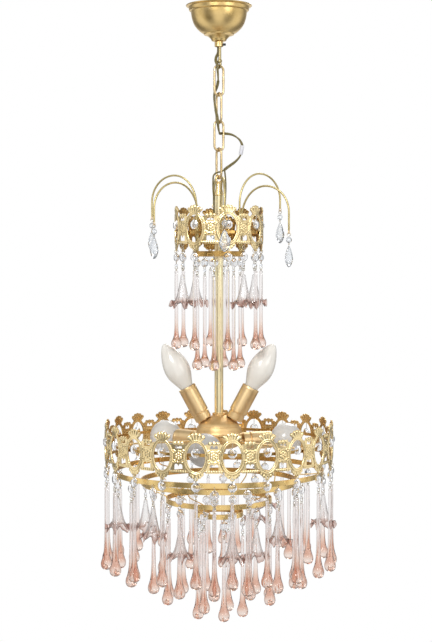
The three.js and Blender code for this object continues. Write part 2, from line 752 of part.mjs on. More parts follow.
// Faces of one cell as [along, up, out] triangles, without its two seams unless it ends a strip
function cellTriangles(openLeft, openRight) {
  const front = STRIP_THICKNESS / 2;
  const outline = cellOutline();
  const oval = ovalPoints(OVAL_WIDTH, OVAL_HEIGHT);
  const opening = ovalPoints(OPENING_WIDTH, OPENING_HEIGHT);
  const holes = cellHoles();
  const triangles = [];
  const lift = (point, out) => [point.x, point.y, out];
  const face = (a, b, c, out) => triangles.push([lift(a, out), lift(b, out), lift(c, out)]);

  const fill = (inner, out) => {
    const points = [...outline, ...inner, ...holes.flat()];
    THREE.ShapeUtils.triangulateShape(outline, [inner, ...holes]).forEach(([a, b, c]) => {
      if (out > 0) face(points[a], points[b], points[c], out);
      else face(points[a], points[c], points[b], out);
    });
  };
  fill(oval, front);
  fill(opening, -front);

  const wall = (a, b, outA, outB) => {
    triangles.push([lift(a, -front), lift(b, -front), lift(b, outB)]);
    triangles.push([lift(a, -front), lift(b, outB), lift(a, outA)]);
  };
  const seamOf = (a, b) => Math.abs(a.x - b.x) < 1e-6 && Math.abs(Math.abs(a.y - b.y)) > 30;
  outline.forEach((point, i) => {
    const next = outline[(i + 1) % outline.length];
    const isSeam = seamOf(point, next);
    if (isSeam && point.x < 0 && openLeft) return;
    if (isSeam && point.x > 0 && openRight) return;
    wall(point, next, front, front);
  });
  holes.forEach((hole) => {
    const clockwise = THREE.ShapeUtils.area(hole) > 0 ? [...hole].reverse() : hole;
    clockwise.forEach((point, i) => wall(point, clockwise[(i + 1) % clockwise.length], front, front));
  });

  const crest = front + BORDER_RISE;
  oval.forEach((point, i) => {
    const next = (i + 1) % OVAL_STEPS;
    triangles.push([lift(point, front), lift(oval[next], front), lift(opening[next], crest)]);
    triangles.push([lift(point, front), lift(opening[next], crest), lift(opening[i], crest)]);
    wall(opening[next], opening[i], crest, crest);
  });
  return triangles;
}

// A run of cells bent to radius, its first medallion at angle
function galleryStrip(radius, cells, angle, endGap) {
  const positions = [];
  for (let cell = 0; cell < cells; cell += 1) {
    const isFirst = cell === 0;
    const isLast = cell === cells - 1;
    cellTriangles(!isFirst, !isLast).flat().forEach(([along, up, out]) => {
      const trimmed = isLast && along > STRIP_PITCH - seamAt - 1e-6 ? along - endGap : along;
      const turn = angle + (cell * STRIP_PITCH + trimmed) / radius;
      const point = polar(radius + out, turn, up);
      positions.push(point.x, point.y, point.z);
    });
  }
  const geometry = new THREE.BufferGeometry();
  geometry.setAttribute("position", new THREE.Float32BufferAttribute(positions, 3));
  return geometry;
}

const mainRadius = (MAIN_MEDALLIONS * STRIP_PITCH) / (2 * Math.PI);
const crownRadius = (CROWN_MEDALLIONS * STRIP_PITCH) / (2 * Math.PI);

// Each run carries the strings of glass whose angles lie on it
function addGallery(name, radius, medallions, arcs, phase, level, strings) {
  const perArc = medallions / arcs;
  const turn = (2 * Math.PI) / arcs;
  const half = Math.PI / medallions;
  for (let arc = 0; arc < arcs; arc += 1) {
    const angle = phase + arc * turn;
    const strip = galleryStrip(radius, perArc, angle, SEAT_GAP).translate(0, 0, level);
    const own = strings.filter(([at]) => wrapped(at - angle + half) < turn);
    add(`${name}_${arc + 1}`, join(strip, ...own.map(([, geometry]) => geometry)), BRASS);
  }
}

// A tip's string starts in the metal below its hole
const tipPinTop = TIP_BOTTOM - TIP_HOLE_LEVEL + PIN_SEAT;
const mainStrings = Array.from({ length: MAIN_MEDALLIONS }, (_, i) => {
  const angle = MAIN_PHASE + (2 * Math.PI * i) / MAIN_MEDALLIONS;
  const drop = makeDropString(PENDANT_LENGTH, tipPinTop);
  return [angle, placeString(drop, mainRadius, MAIN_LEVEL + TIP_HOLE_LEVEL, angle)];
});

// The crown's bells hang from the plates between its tips, where the bent strip runs flat
const plateSpan = STRIP_PITCH - seamAt - PLATE_EDGE;
const plateShift = (STRIP_PITCH - seamAt + PLATE_EDGE) / 2 - STRIP_PITCH / 2;
const plateRadius = flatRadius(crownRadius, plateSpan / crownRadius, plateShift / crownRadius);
const crownStrings = Array.from({ length: CROWN_BELLS }, (_, i) => {
  const angle = CROWN_PHASE + Math.PI / CROWN_MEDALLIONS + (2 * Math.PI * i) / CROWN_BELLS;
  const bell = makeBellString(CROWN_BELL_LENGTH, CROWN_BELL_LEAD);
  return [angle, placeString(bell, plateRadius, CROWN_LEVEL + CROWN_BELL_LEVEL, angle)];
});

addGallery("main_gallery", mainRadius, MAIN_MEDALLIONS, MAIN_ARCS, MAIN_PHASE, MAIN_LEVEL, mainStrings);
addGallery("crown_gallery", crownRadius, CROWN_MEDALLIONS, CROWN_ARCS, CROWN_PHASE, CROWN_LEVEL, crownStrings);

// Flat hoops with spokes

function hoop(outer, height, thickness, level, segments) {
  return pipe(outer, outer - thickness, level - height / 2, level + height / 2, segments);
}

function spoke(from, to, width, thickness, level, angle) {
  const middle = (from + to) / 2;
  return box(width, to - from, thickness, 0, -middle, level).rotateZ(angle);
}

// The bent strip runs straight from one opening to the next, so its back lies a little inside its radius
function hoopInside(radius) {
  const flatSpan = STRIP_PITCH - OPENING_WIDTH * Math.cos(Math.PI / OVAL_STEPS);
  return radius - STRIP_THICKNESS / 2 - flatSpan ** 2 / (8 * radius) - SEAT_GAP;
}

const mainHoopRadius = hoopInside(mainRadius);
const hoopLevel = MAIN_LEVEL + 4;
const hubRodRadius = HUB_ROD_DIAMETER / 2;

function spokedHoop(outer, segments, level, collarRadius, boreRadius, spokes, phase, width) {
  const parts = [hoop(outer, HOOP_HEIGHT, HOOP_THICKNESS, level, segments)];
  parts.push(pipe(collarRadius, boreRadius, level - 2, level + 2, 12));
  const spokeEnd = outer * Math.cos(Math.PI / segments) - HOOP_THICKNESS / 2;
  for (let i = 0; i < spokes; i += 1) {
    const angle = phase + (2 * Math.PI * i) / spokes;
    parts.push(spoke(collarRadius - 1, spokeEnd, width, 1.6, level, angle));
  }
  return join(...parts);
}

add(
  "main_hoop",
  spokedHoop(
    mainHoopRadius, MAIN_HOOP_FACETS, hoopLevel, CUP_RADIUS - 8, hubRodRadius + BORE_CLEARANCE,
    SPOKE_COUNT, SPOKE_PHASE, SPOKE_WIDTH,
  ),
  BRASS,
);

// Crown hoops: the upper carries the gallery, the lower one the six arched wires

const crownHoopRadius = hoopInside(crownRadius);
const crownHoopLevel = CROWN_LEVEL - 3.5;
const crownBore = stemRadius + BORE_CLEARANCE;

add(
  "crown_hoop",
  spokedHoop(crownHoopRadius, 20, crownHoopLevel, CROWN_COLLAR_RADIUS, crownBore, 3, CROWN_SPOKE_PHASE, 6),
  BRASS,
);

// A short straight foot, then half an ellipse over to the tip
function archRoute(top, tip) {
  const footRadius = CROWN_LOWER_RADIUS - HOOP_THICKNESS;
  const middle = (footRadius + ARCH_TIP_RADIUS) / 2;
  const half = (ARCH_TIP_RADIUS - footRadius) / 2;
  const steps = 8;
  const points = [new THREE.Vector3(0, -footRadius, CROWN_LOWER_LEVEL)];
  for (let i = 0; i <= steps; i += 1) {
    const angle = (Math.PI * i) / steps;
    const low = angle < Math.PI / 2 ? CROWN_LOWER_LEVEL + ARCH_FOOT_RISE : tip;
    const height = low + (top - low) * Math.sin(angle);
    points.push(new THREE.Vector3(0, half * Math.cos(angle) - middle, height));
  }
  return points;
}

function makeArch([top, tip], angle) {
  const wire = bar(archRoute(top, tip), ARCH_WIRE, 4, 12);
  const loop = wireLoop(
    circleOutline(ARCH_LOOP_RADIUS, tip - ARCH_LOOP_RADIUS, 6), new THREE.Vector2(1, 0), HOOK_WIRE, 4,
  ).translate(0, -ARCH_TIP_RADIUS, 0);
  return join(wire, loop).rotateZ(angle);
}

const archAngles = ARCH_HEIGHTS.map((_, i) => ARCH_PHASE + (2 * Math.PI * i) / ARCH_COUNT);

// The crown's drops end at levels set by the candle lamps below them
const lampTop = CANDLE_LAMP_LEVEL + (CANDLE_HOLDER_LENGTH + 1 + CANDLE_BULB_LENGTH) * Math.cos(CANDLE_LAMP_TILT);
const crownTipLevel = CROWN_LEVEL + TIP_HOLE_LEVEL;
const innerHoleLevel = CROWN_LOWER_LEVEL - HOOP_HEIGHT / 2 + RING_HOLE_RISE;
const LOWER_HOOP_FACETS = 18;

function makeInnerString(place) {
  const angle = CROWN_PHASE + (2 * Math.PI * (place + 0.5)) / CROWN_MEDALLIONS;
  const radius = stripMiddle(CROWN_LOWER_RADIUS, HOOP_THICKNESS, LOWER_HOOP_FACETS, angle);
  const length = innerHoleLevel - lampTop + CROWN_INNER_OVERLAP;
  return placeString(makeDropString(length, 0), radius, innerHoleLevel, angle);
}

add(
  "crown_lower_hoop",
  join(
    spokedHoop(
      CROWN_LOWER_RADIUS, LOWER_HOOP_FACETS, CROWN_LOWER_LEVEL, CROWN_COLLAR_RADIUS, crownBore, 3, ARCH_PHASE, 5,
    ),
    ...ARCH_HEIGHTS.map((heights, i) => makeArch(heights, archAngles[i])),
    ...CROWN_INNER_PLACES.map(makeInnerString),
  ),
  BRASS,
);

// Crystals

// A hook ring whose top wire passes through a hole at the origin, across the strip
function hookRing() {
  return wireLoop(circleOutline(HOOK_RADIUS, -HOOK_RADIUS, 6), new THREE.Vector2(0, 1), HOOK_WIRE, 3);
}

// A string that swings: its pin ends at the hook ring's lower wire
function makePendant(length) {
  return join(hookRing(), makeDropString(length, HOOK_WIRE * 0.6 - 2 * HOOK_RADIUS));
}

function makeArchDrop() {
  const bead = ALMOND_BEAD / 2;
  const beadMiddle = -2 * ARCH_LOOP_RADIUS - bead - 1.2;
  const almondTop = beadMiddle - bead - 4;
  const half = ALMOND_WIDTH / 2;
  const string = turned([
    [0, almondTop - ALMOND_LENGTH],
    [half * 0.6, almondTop - ALMOND_LENGTH * 0.88],
    [half, almondTop - ALMOND_LENGTH * 0.62],
    [half * 0.5, almondTop - ALMOND_LENGTH * 0.26],
    [pinRadius, almondTop],
    [pinRadius, beadMiddle - bead],
    [bead, beadMiddle],
    [pinRadius, beadMiddle + bead],
    [pinRadius, HOOK_WIRE * 0.6 - 2 * HOOK_RADIUS],
    [0, HOOK_WIRE * 0.6 - 2 * HOOK_RADIUS],
  ], 6).scale(1, 0.75, 1);
  return join(hookRing(), string);
}

// The hook hangs in the arch's own loop, wire on wire
ARCH_HEIGHTS.forEach(([, tip], i) => {
  const seat = tip - 2 * ARCH_LOOP_RADIUS + HOOK_WIRE * 1.1 + SEAT_GAP;
  const drop = makeArchDrop().translate(0, -ARCH_TIP_RADIUS, seat);
  add(`arch_drop_${i + 1}`, drop.rotateZ(archAngles[i]), CLEAR_GLASS);
});

for (let i = 0; i < CROWN_MEDALLIONS; i += 1) {
  const angle = CROWN_PHASE + (2 * Math.PI * i) / CROWN_MEDALLIONS;
  const pendant = makePendant(crownTipLevel - lampTop + CROWN_DROP_OVERLAP);
  add(`crown_pendant_${i + 1}`, placeString(pendant, crownRadius, crownTipLevel, angle), ROSE_GLASS);
}

// Hub

const nippleRadius = NIPPLE_DIAMETER / 2;

function lampAxis(geometry, tilt, start, level, angle) {
  return geometry.rotateX(tilt).translate(0, -start, level).rotateZ(angle);
}

const candleAngles = [90 * DEG, 270 * DEG];
const sideAngles = Array.from(
  { length: SIDE_LAMP_COUNT }, (_, i) => SIDE_LAMP_PHASE + (2 * Math.PI * i) / SIDE_LAMP_COUNT,
);

function placeCandle(geometry, angle) {
  return lampAxis(geometry, CANDLE_LAMP_TILT, CANDLE_LAMP_RADIUS, CANDLE_LAMP_LEVEL, angle);
}

function placeSide(geometry, angle) {
  return lampAxis(geometry, Math.PI / 2, SIDE_HOLDER_START, SIDE_LAMP_LEVEL, angle);
}

function makeHubDome() {
  const outer = [
    [stemRadius + 3, HUB_TOP + 3],
    [stemRadius + 3, HUB_TOP],
    [HUB_RADIUS * 0.55, HUB_TOP - 5.3],
    [HUB_RADIUS * 0.8, HUB_TOP - 10.3],
    [HUB_RADIUS * 0.94, HUB_TOP - 17],
    [HUB_RADIUS - 0.6, HUB_RIM_LEVEL + 3],
    [HUB_RADIUS + 0.8, HUB_RIM_LEVEL + 2],
    [HUB_RADIUS + 0.8, HUB_RIM_LEVEL],
  ];
  const innerSteps = [2, 4].map((i) => outer[i]);
  const inner = innerSteps.map(([radius, height]) => [radius - HUB_WALL, height - HUB_WALL * 0.4]);
  const bore = stemRadius + BORE_CLEARANCE;
  const dome = turned([
    ...outer,
    [HUB_RADIUS - HUB_WALL, HUB_RIM_LEVEL],
    ...inner.reverse(),
    [bore, HUB_TOP - HUB_WALL],
    [bore, HUB_TOP + 3],
    outer[0],
  ], 16);
  const holes = candleAngles.map((angle) => {
    return placeCandle(cylinder(nippleRadius + BORE_CLEARANCE, -22, 2, 10), angle);
  });
  return cut(dome, ...holes);
}

const cupTop = HUB_RIM_LEVEL - SEAT_GAP;
const cupBottom = cupTop - CUP_HEIGHT;

function makeHubCup() {
  const bore = hubRodRadius + BORE_CLEARANCE;
  const cup = turned([
    [CUP_RADIUS, cupTop],
    [CUP_RADIUS, cupTop - 11],
    [CUP_RADIUS * 0.86, cupTop - 16],
    [CUP_RADIUS * 0.5, cupBottom],
    [bore, cupBottom],
    [bore, cupBottom + HUB_WALL],
    [CUP_RADIUS * 0.48, cupBottom + HUB_WALL],
    [CUP_RADIUS * 0.8, cupTop - 16 + HUB_WALL],
    [CUP_RADIUS - HUB_WALL, cupTop - 10.4],
    [CUP_RADIUS - HUB_WALL, cupTop],
    [CUP_RADIUS, cupTop],
  ], 16);
  const lampHoles = sideAngles.map((angle) => {
    return placeSide(cylinder(nippleRadius + BORE_CLEARANCE, -10, 3, 10), angle);
  });
  const slots = Array.from({ length: SPOKE_COUNT }, (_, i) => {
    const angle = SPOKE_PHASE + (2 * Math.PI * i) / SPOKE_COUNT;
    return spoke(CUP_RADIUS - 8, CUP_RADIUS + 4, SPOKE_WIDTH + 0.8, 2.4, hoopLevel, angle);
  });
  return cut(cup, ...lampHoles, ...slots);
}

function makeHubNut() {
  const rodTop = HUB_TOP - 8;
  const nutTopLevel = cupBottom - SEAT_GAP;
  const nutBottom = nutTopLevel - HUB_NUT_HEIGHT;
  return turned([
    [0, nutBottom - 4],
    [2.6, nutBottom - 2.6],
    [3.2, nutBottom],
    [8.6, nutTopLevel - 5],
    [9.6, nutTopLevel - 2],
    [9.6, nutTopLevel],
    [hubRodRadius, nutTopLevel],
    [hubRodRadius, STEM_BOTTOM - 6 - SEAT_GAP],
    [stemRadius - STEM_WALL - BORE_CLEARANCE, STEM_BOTTOM - 6 - SEAT_GAP],
    [stemRadius - STEM_WALL - BORE_CLEARANCE, rodTop + 14],
    [0, rodTop + 14],
  ], 12);
}

add("hub_dome", makeHubDome(), BRASS);
add("hub_cup", makeHubCup(), BRASS);
add("hub_nut", makeHubNut(), BRASS);

// Lamps

const capRadius = LAMP_CAP_DIAMETER / 2;
const holderRadius = HOLDER_DIAMETER / 2;
const holderBore = HOLDER_BORE_DIAMETER / 2;

// A brass cup on a hollow nipple, with a step above its base and a lamp socket sunk in its mouth
function makeHolder(length, nippleLength) {
  const socketBottom = capBottom(length) - SEAT_GAP;
  const socketTop = length - HOLDER_RECESS;
  return turned([
    [nippleRadius - 1.2, -nippleLength],
    [nippleRadius, -nippleLength],
    [nippleRadius, 0],
    [holderRadius - 1, 0],
    [holderRadius - 0.6, 9.6],
    [holderRadius, 10.4],
    [holderRadius, length],
    [holderBore, length],
    [holderBore, socketTop],
    [capRadius + BORE_CLEARANCE, socketTop],
    [capRadius + BORE_CLEARANCE, socketBottom],
    [nippleRadius - 1.2, socketBottom],
    [nippleRadius - 1.2, -nippleLength],
  ], 11);
}

function capBottom(length) {
  return length - LAMP_CAP_LENGTH - 4;
}

function capProfile(length) {
  const bottom = capBottom(length);
  return [[0, bottom], [capRadius * 0.45, bottom], [capRadius, bottom + 3.5], [capRadius, length - 1]];
}

function makeCandleBulb() {
  const radius = CANDLE_BULB_DIAMETER / 2;
  const start = CANDLE_HOLDER_LENGTH + 1;
  return turned([
    ...capProfile(CANDLE_HOLDER_LENGTH),
    [capRadius + 1.5, start],
    [radius * 0.8, start + CANDLE_BULB_LENGTH * 0.16],
    [radius, start + CANDLE_BULB_LENGTH * 0.36],
    [radius * 0.88, start + CANDLE_BULB_LENGTH * 0.58],
    [radius * 0.5, start + CANDLE_BULB_LENGTH * 0.83],
    [radius * 0.16, start + CANDLE_BULB_LENGTH * 0.97],
    [0, start + CANDLE_BULB_LENGTH],
  ], 11);
}

function makeRoundBulb() {
  const radius = ROUND_BULB_DIAMETER / 2;
  const centre = SIDE_HOLDER_LENGTH + ROUND_BULB_LENGTH - radius;
  const profile = capProfile(SIDE_HOLDER_LENGTH);
  profile.push([capRadius + 1, SIDE_HOLDER_LENGTH + 1]);
  const steps = 5;
  const start = -52 * DEG;
  for (let i = 0; i <= steps; i += 1) {
    const angle = start + (i / steps) * (90 * DEG - start);
    profile.push([i === steps ? 0 : radius * Math.cos(angle), centre + radius * Math.sin(angle)]);
  }
  return turned(profile, 11);
}

const CANDLE_NIPPLE = 14;
const SIDE_NIPPLE = 7;
candleAngles.forEach((angle, i) => {
  add(`candle_holder_${i + 1}`, placeCandle(makeHolder(CANDLE_HOLDER_LENGTH, CANDLE_NIPPLE), angle), BRASS);
  add(`candle_bulb_${i + 1}`, placeCandle(makeCandleBulb(), angle), FROSTED);
});
sideAngles.forEach((angle, i) => {
  add(`side_holder_${i + 1}`, placeSide(makeHolder(SIDE_HOLDER_LENGTH, SIDE_NIPPLE), angle), BRASS);
  add(`round_bulb_${i + 1}`, placeSide(makeRoundBulb(), angle), FROSTED);
});

// Drop rings, each hung by three wires on the inside of the ring above

function makeDropRing(order) {
  const [radius, level] = DROP_RINGS[order];
  const isFirst = order === 0;
  const above = isFirst ? [mainHoopRadius, hoopLevel] : DROP_RINGS[order - 1];
  const thickness = isFirst ? HOOP_THICKNESS : DROP_RING_THICKNESS;
  const flatInside = (above[0] - thickness) * Math.cos(Math.PI / (isFirst ? MAIN_HOOP_FACETS : DROP_RING_FACETS));
  const reach = flatInside - SEAT_GAP - HANGER_WIRE / 2;
  const foot = radius - DROP_RING_THICKNESS / 2;
  const parts = [hoop(radius, DROP_RING_HEIGHT, DROP_RING_THICKNESS, level, DROP_RING_FACETS)];
  for (let i = 0; i < HANGERS_PER_RING; i += 1) {
    const angle = HANGER_PHASES[order] + (2 * Math.PI * i) / HANGERS_PER_RING;
    const route = [
      new THREE.Vector3(0, -reach, above[1] + 2.5),
      new THREE.Vector3(0, -reach, above[1] - DROP_RING_HEIGHT / 2 - 1.5),
      new THREE.Vector3(0, -foot, level + DROP_RING_HEIGHT / 2 + 1.5),
      new THREE.Vector3(0, -foot, level),
    ];
    parts.push(bar(route, HANGER_WIRE, 4, 4).rotateZ(angle));
  }
  return join(...parts, ...hoopStrings(order));
}

function holeLevel(order) {
  return DROP_RINGS[order][1] - DROP_RING_HEIGHT / 2 + RING_HOLE_RISE;
}

// The lowest hoop has none: its pendants are pieces of their own
function hoopStrings(order) {
  const places = [...(HOOP_STRINGS[order] ?? "")];
  return places.flatMap((kind, i) => {
    if (kind === "-") return [];
    const angle = HOOP_STRING_PHASES[order] + (2 * Math.PI * i) / places.length;
    const radius = stripMiddle(DROP_RINGS[order][0], DROP_RING_THICKNESS, DROP_RING_FACETS, angle);
    const glass = kind === "d" ? makeDropString(PENDANT_LENGTH, 0) : makeBellString(BELL_LENGTH, 0);
    return [placeString(glass, radius, holeLevel(order), angle)];
  });
}

const lowest = DROP_RINGS.length - 1;
const lowestRadius = DROP_RINGS[lowest][0];
const lowestHoleLevel = holeLevel(lowest);
const lowestAngles = Array.from(
  { length: LOWEST_PENDANTS }, (_, i) => LOWEST_PHASE + (2 * Math.PI * i) / LOWEST_PENDANTS,
);

DROP_RINGS.slice(0, lowest).forEach((_, order) => add(`drop_ring_${order + 1}`, makeDropRing(order), BRASS));
add(
  `drop_ring_${DROP_RINGS.length}`,
  cut(
    makeDropRing(lowest),
    ...lowestAngles.map((angle) => {
      return radialBar(RING_HOLE / 2, lowestRadius - 3, lowestRadius + 2, angle, lowestHoleLevel, 6);
    }),
  ),
  BRASS,
);

lowestAngles.forEach((angle, i) => {
  const radius = lowestRadius - DROP_RING_THICKNESS / 2;
  const pendant = placeString(makePendant(PENDANT_LENGTH), radius, lowestHoleLevel, angle);
  add(`lower_pendant_${i + 1}`, pendant, ROSE_GLASS);
});

export default group;
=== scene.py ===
import math

import bpy
import numpy as np
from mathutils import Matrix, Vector


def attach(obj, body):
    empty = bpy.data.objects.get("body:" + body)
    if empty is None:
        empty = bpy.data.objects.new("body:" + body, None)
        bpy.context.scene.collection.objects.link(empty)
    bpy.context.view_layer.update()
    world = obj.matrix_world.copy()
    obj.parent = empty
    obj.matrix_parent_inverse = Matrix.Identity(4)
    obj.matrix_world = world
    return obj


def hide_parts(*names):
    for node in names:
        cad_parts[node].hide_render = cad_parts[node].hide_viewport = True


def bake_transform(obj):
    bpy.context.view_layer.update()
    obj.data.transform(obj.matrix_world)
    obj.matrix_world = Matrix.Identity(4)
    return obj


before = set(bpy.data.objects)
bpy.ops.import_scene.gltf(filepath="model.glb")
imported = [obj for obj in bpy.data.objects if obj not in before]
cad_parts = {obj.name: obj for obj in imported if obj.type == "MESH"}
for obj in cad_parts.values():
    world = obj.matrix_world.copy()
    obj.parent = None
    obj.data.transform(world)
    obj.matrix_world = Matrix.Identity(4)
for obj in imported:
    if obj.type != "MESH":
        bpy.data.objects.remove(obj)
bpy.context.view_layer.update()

MM = 0.001
DEG = math.pi / 180
TURN = 2 * math.pi
BODY = "chandelier"

# Sizes in millimetres, as in the CAD source
CHAIN_TWIST = 28 * DEG
LINK_TOPS = (-83.5, -121, -158.5, -196)
LINK_SPAN = 41
LINK_BEND = 6.9
WIRE = 3.2
EYE_RADIUS = 4.6
STEM_RADIUS = 6
STEM_FOOT = -567
PITCH = 46.5
MAIN_CELLS = 21
MAIN_RADIUS = MAIN_CELLS * PITCH / TURN
MAIN_LEVEL = -600
MAIN_PHASE = 6.19 * DEG
CROWN_CELLS = 8
CROWN_RADIUS = CROWN_CELLS * PITCH / TURN
CROWN_LEVEL = -306.5
CROWN_PHASE = 11.5 * DEG
TIP_HOLE_LEVEL = -27.6
CROWN_TIP_LEVEL = CROWN_LEVEL + TIP_HOLE_LEVEL
INNER_HOLE_LEVEL = -341.3
HOOP_HEIGHT = 7
SPOKED_HOOP_HEIGHT = 4.2
HOOP_THICKNESS = 1.4
MAIN_HOOP = (154.0, MAIN_LEVEL + 4)
CROWN_HOOP = (57.4, CROWN_LEVEL - 3.5)
LOWER_HOOP = (36, -340)
NUT_BORE = 5.35
STEM_BORE = 6.35
DROP_RINGS = ((144, -638), (107.5, -652), (73, -677.5), (33.5, -697))
LOWEST_HOLE = (32.8, -698.3)
HANGER_PHASES = (30 * DEG, 97.5 * DEG, 37.5 * DEG, 97.5 * DEG)
ARCH_PHASE = 4 * DEG
ARCH_TIP_RADIUS = 104
ARCH_RING_RADIUS = 2.3
ARCH_HEIGHTS = (
    (-240, -289), (-249, -309), (-228, -275), (-234, -268), (-231, -287), (-245, -298),
)
HOOK_RADIUS = 2.4
HOOK_WIRE = 0.9
PIN_WIRE = 0.8
BEAD_RADIUS = 6.3
BEAD_DEPTH = 3.4
CANDLE_HOLDER_LENGTH = 50
SIDE_HOLDER_LENGTH = 42
CANDLE_PLACE = (28 * DEG, 20.7, STEM_FOOT)
CANDLE_HEIGHT = 67
SIDE_START = 34
SIDE_LEVEL = -598
LAMP_TOP = CANDLE_PLACE[2] + (CANDLE_HOLDER_LENGTH + CANDLE_HEIGHT) * math.cos(CANDLE_PLACE[0])
STRING_LENGTH = 142
BELL_LENGTH = 70
CROWN_BELL_LENGTH = 84
CROWN_BELL_LEAD = 8.6
# One letter for each place round a hoop: a drop, a bell or none
HOOP_STRINGS = ("ddd-b-ddbdd--dddbdb-d", "bdd-bdddb-dddd", "bdbbdddddddd")
HOOP_STRING_PHASES = (MAIN_PHASE + math.pi / MAIN_CELLS, 48 * DEG, -46 * DEG)


# Materials

WHITE = (1, 1, 1)


def preset(made, inputs):
    for key, value in inputs.items():
        made.inputs[key.replace("_", " ")].default_value = value
    return made


def node(tree, kind, **inputs):
    return preset(tree.nodes.new("ShaderNode" + kind), inputs)


def principled(name, **inputs):
    material = bpy.data.materials.new(name)
    material.use_nodes = True
    tree = material.node_tree
    return material, tree, preset(tree.nodes["Principled BSDF"], inputs)


def object_noise(tree, scale, detail, stretch=(1, 1, 1)):
    place = node(tree, "TexCoord")
    mapping = node(tree, "Mapping", Scale=stretch)
    noise = node(tree, "TexNoise", Scale=scale, Detail=detail, Roughness=0.6)
    tree.links.new(place.outputs["Object"], mapping.inputs["Vector"])
    tree.links.new(mapping.outputs["Vector"], noise.inputs["Vector"])
    return noise.outputs["Fac"]


def stored(tree, name):
    made = node(tree, "Attribute")
    made.attribute_name = name
    return made.outputs["Fac"]


def ramp(tree, source, stops):
    made = node(tree, "ValToRGB")
    elements = made.color_ramp.elements
    while len(elements) < len(stops):
        elements.new(0.5)
    for element, (at, colour) in zip(elements, stops):
        element.position = at
        element.color = (*colour, 1)
    tree.links.new(source, made.inputs["Fac"])
    return made.outputs["Color"]


def mapped(tree, source, low, high, start=0, end=1):
    """Spreads the source's range from start to end over low to high."""
    made = node(tree, "MapRange", From_Min=start, From_Max=end, To_Min=low, To_Max=high)
    tree.links.new(source, made.inputs["Value"])
    return made.outputs["Result"]


def multiplied(tree, one, other):
    mix = node(tree, "Mix")
    mix.data_type = "RGBA"
    mix.blend_type = "MULTIPLY"
    mix.inputs["Factor"].default_value = 1
    tree.links.new(one, mix.inputs["A"])
    tree.links.new(other, mix.inputs["B"])
    return mix.outputs["Result"]


def bump(tree, shader, source, strength, distance):
    made = node(tree, "Bump", Strength=strength, Distance=distance)
    tree.links.new(source, made.inputs["Height"])
    tree.links.new(made.outputs["Normal"], shader.inputs["Normal"])


def surfaced(tree, shader, colour, scale, rough):
    """Feeds a colour, and a roughness that wanders between the two of rough."""
    tree.links.new(colour, shader.inputs["Base Color"])
    gloss = mapped(tree, object_noise(tree, scale, 3), *rough)
    tree.links.new(gloss, shader.inputs["Roughness"])


# Painted shade and highlight, multiplied onto brass by the stored value: low values darken backs,
# inner faces and the feet of the stamping, high values leave its ridges lightest.
PAINTED_RELIEF_SHADE_STOPS = (
    (0.0, (0.7, 0.57, 0.42)), (0.06, (0.7, 0.57, 0.42)), (0.12, (0.5, 0.4, 0.27)),
    (0.45, (0.92, 0.88, 0.8)), (0.7, WHITE),
)


def brass(name, light, dark, rough=(0.22, 0.4), relief=False, rings=False, grain=0.1):
    """Brass; relief multiplies it by the stored painted shade and highlight, and rings are the
    marks of spinning.
    """
    material, tree, shader = principled(name, Metallic=1)
    colour = ramp(tree, object_noise(tree, 45, 5), ((0.32, dark), (0.5, light), (0.72, light)))
    if relief:
        # Painted shade and highlight, read from the stored value of each point.
        colour = multiplied(tree, colour, ramp(tree, stored(tree, "relief"), PAINTED_RELIEF_SHADE_STOPS))
    surfaced(tree, shader, colour, 160, rough)
    if rings:
        bump(tree, shader, object_noise(tree, 60, 4, (1, 1, 30)), 0.12, 0.0004)
    else:
        bump(tree, shader, object_noise(tree, 700, 2), grain, 0.0003)
    return material


def glass(name, stops, edge, rough=0.02, ior=1.47, clear=1.0):
    """Glass; stops colour it by the stored tint, and edge is the painted shade it takes where it
    turns away from the view.
    """
    material, tree, shader = principled(name, Transmission_Weight=clear, IOR=ior, Roughness=rough)
    # Painted shade: the colour darkens towards the silhouette, where the surface turns away from
    # the view.
    facing = node(tree, "LayerWeight", Blend=0.5).outputs["Facing"]
    halfway = [(1 + part) / 2 for part in edge]
    rim = ramp(tree, facing, ((0, WHITE), (0.1, WHITE), (0.45, halfway), (0.85, edge)))
    colour = multiplied(tree, ramp(tree, stored(tree, "tint"), stops), rim)
    tree.links.new(colour, shader.inputs["Base Color"])
    bump(tree, shader, object_noise(tree, 90, 2), 0.03, 0.0006)
    return material


def plain(name, light, dark, rough=(0.4, 0.6), metallic=0.0, scale=120, coat=0.0):
    material, tree, shader = principled(name, Metallic=metallic, Coat_Weight=coat)
    colour = ramp(tree, object_noise(tree, scale, 4), ((0.35, dark), (0.65, light)))
    surfaced(tree, shader, colour, scale * 2, rough)
    bump(tree, shader, object_noise(tree, scale * 6, 2), 0.1, 0.0002)
    return material


GOLD = brass("gilt_brass", (0.86, 0.66, 0.34), (0.72, 0.5, 0.21), grain=0.05)
LINK = brass("link_brass", (0.76, 0.59, 0.33), (0.58, 0.43, 0.2), (0.24, 0.36), grain=0.05)
DULL = brass("dull_brass", (0.46, 0.38, 0.2), (0.34, 0.27, 0.13), (0.34, 0.46), grain=0.05)
STAMPED = brass("stamped_brass", (1, 0.82, 0.47), (0.95, 0.74, 0.38), (0.18, 0.34), relief=True)
STEM = brass("stem_brass", (1, 0.88, 0.57), (0.98, 0.84, 0.51), (0.26, 0.3), grain=0.01)
HOLDER = brass("holder_brass", (0.8, 0.59, 0.32), (0.68, 0.48, 0.24), (0.36, 0.48))
HOOP = brass("hoop_brass", (0.93, 0.67, 0.28), (0.82, 0.55, 0.2), (0.2, 0.36), relief=True)
SATIN = brass("satin_brass", (0.78, 0.55, 0.27), (0.66, 0.45, 0.2), (0.42, 0.56))
ARCHED = brass(
    "arched_wire_brass", (0.66, 0.55, 0.27), (0.5, 0.41, 0.18), (0.36, 0.5), grain=0.04)
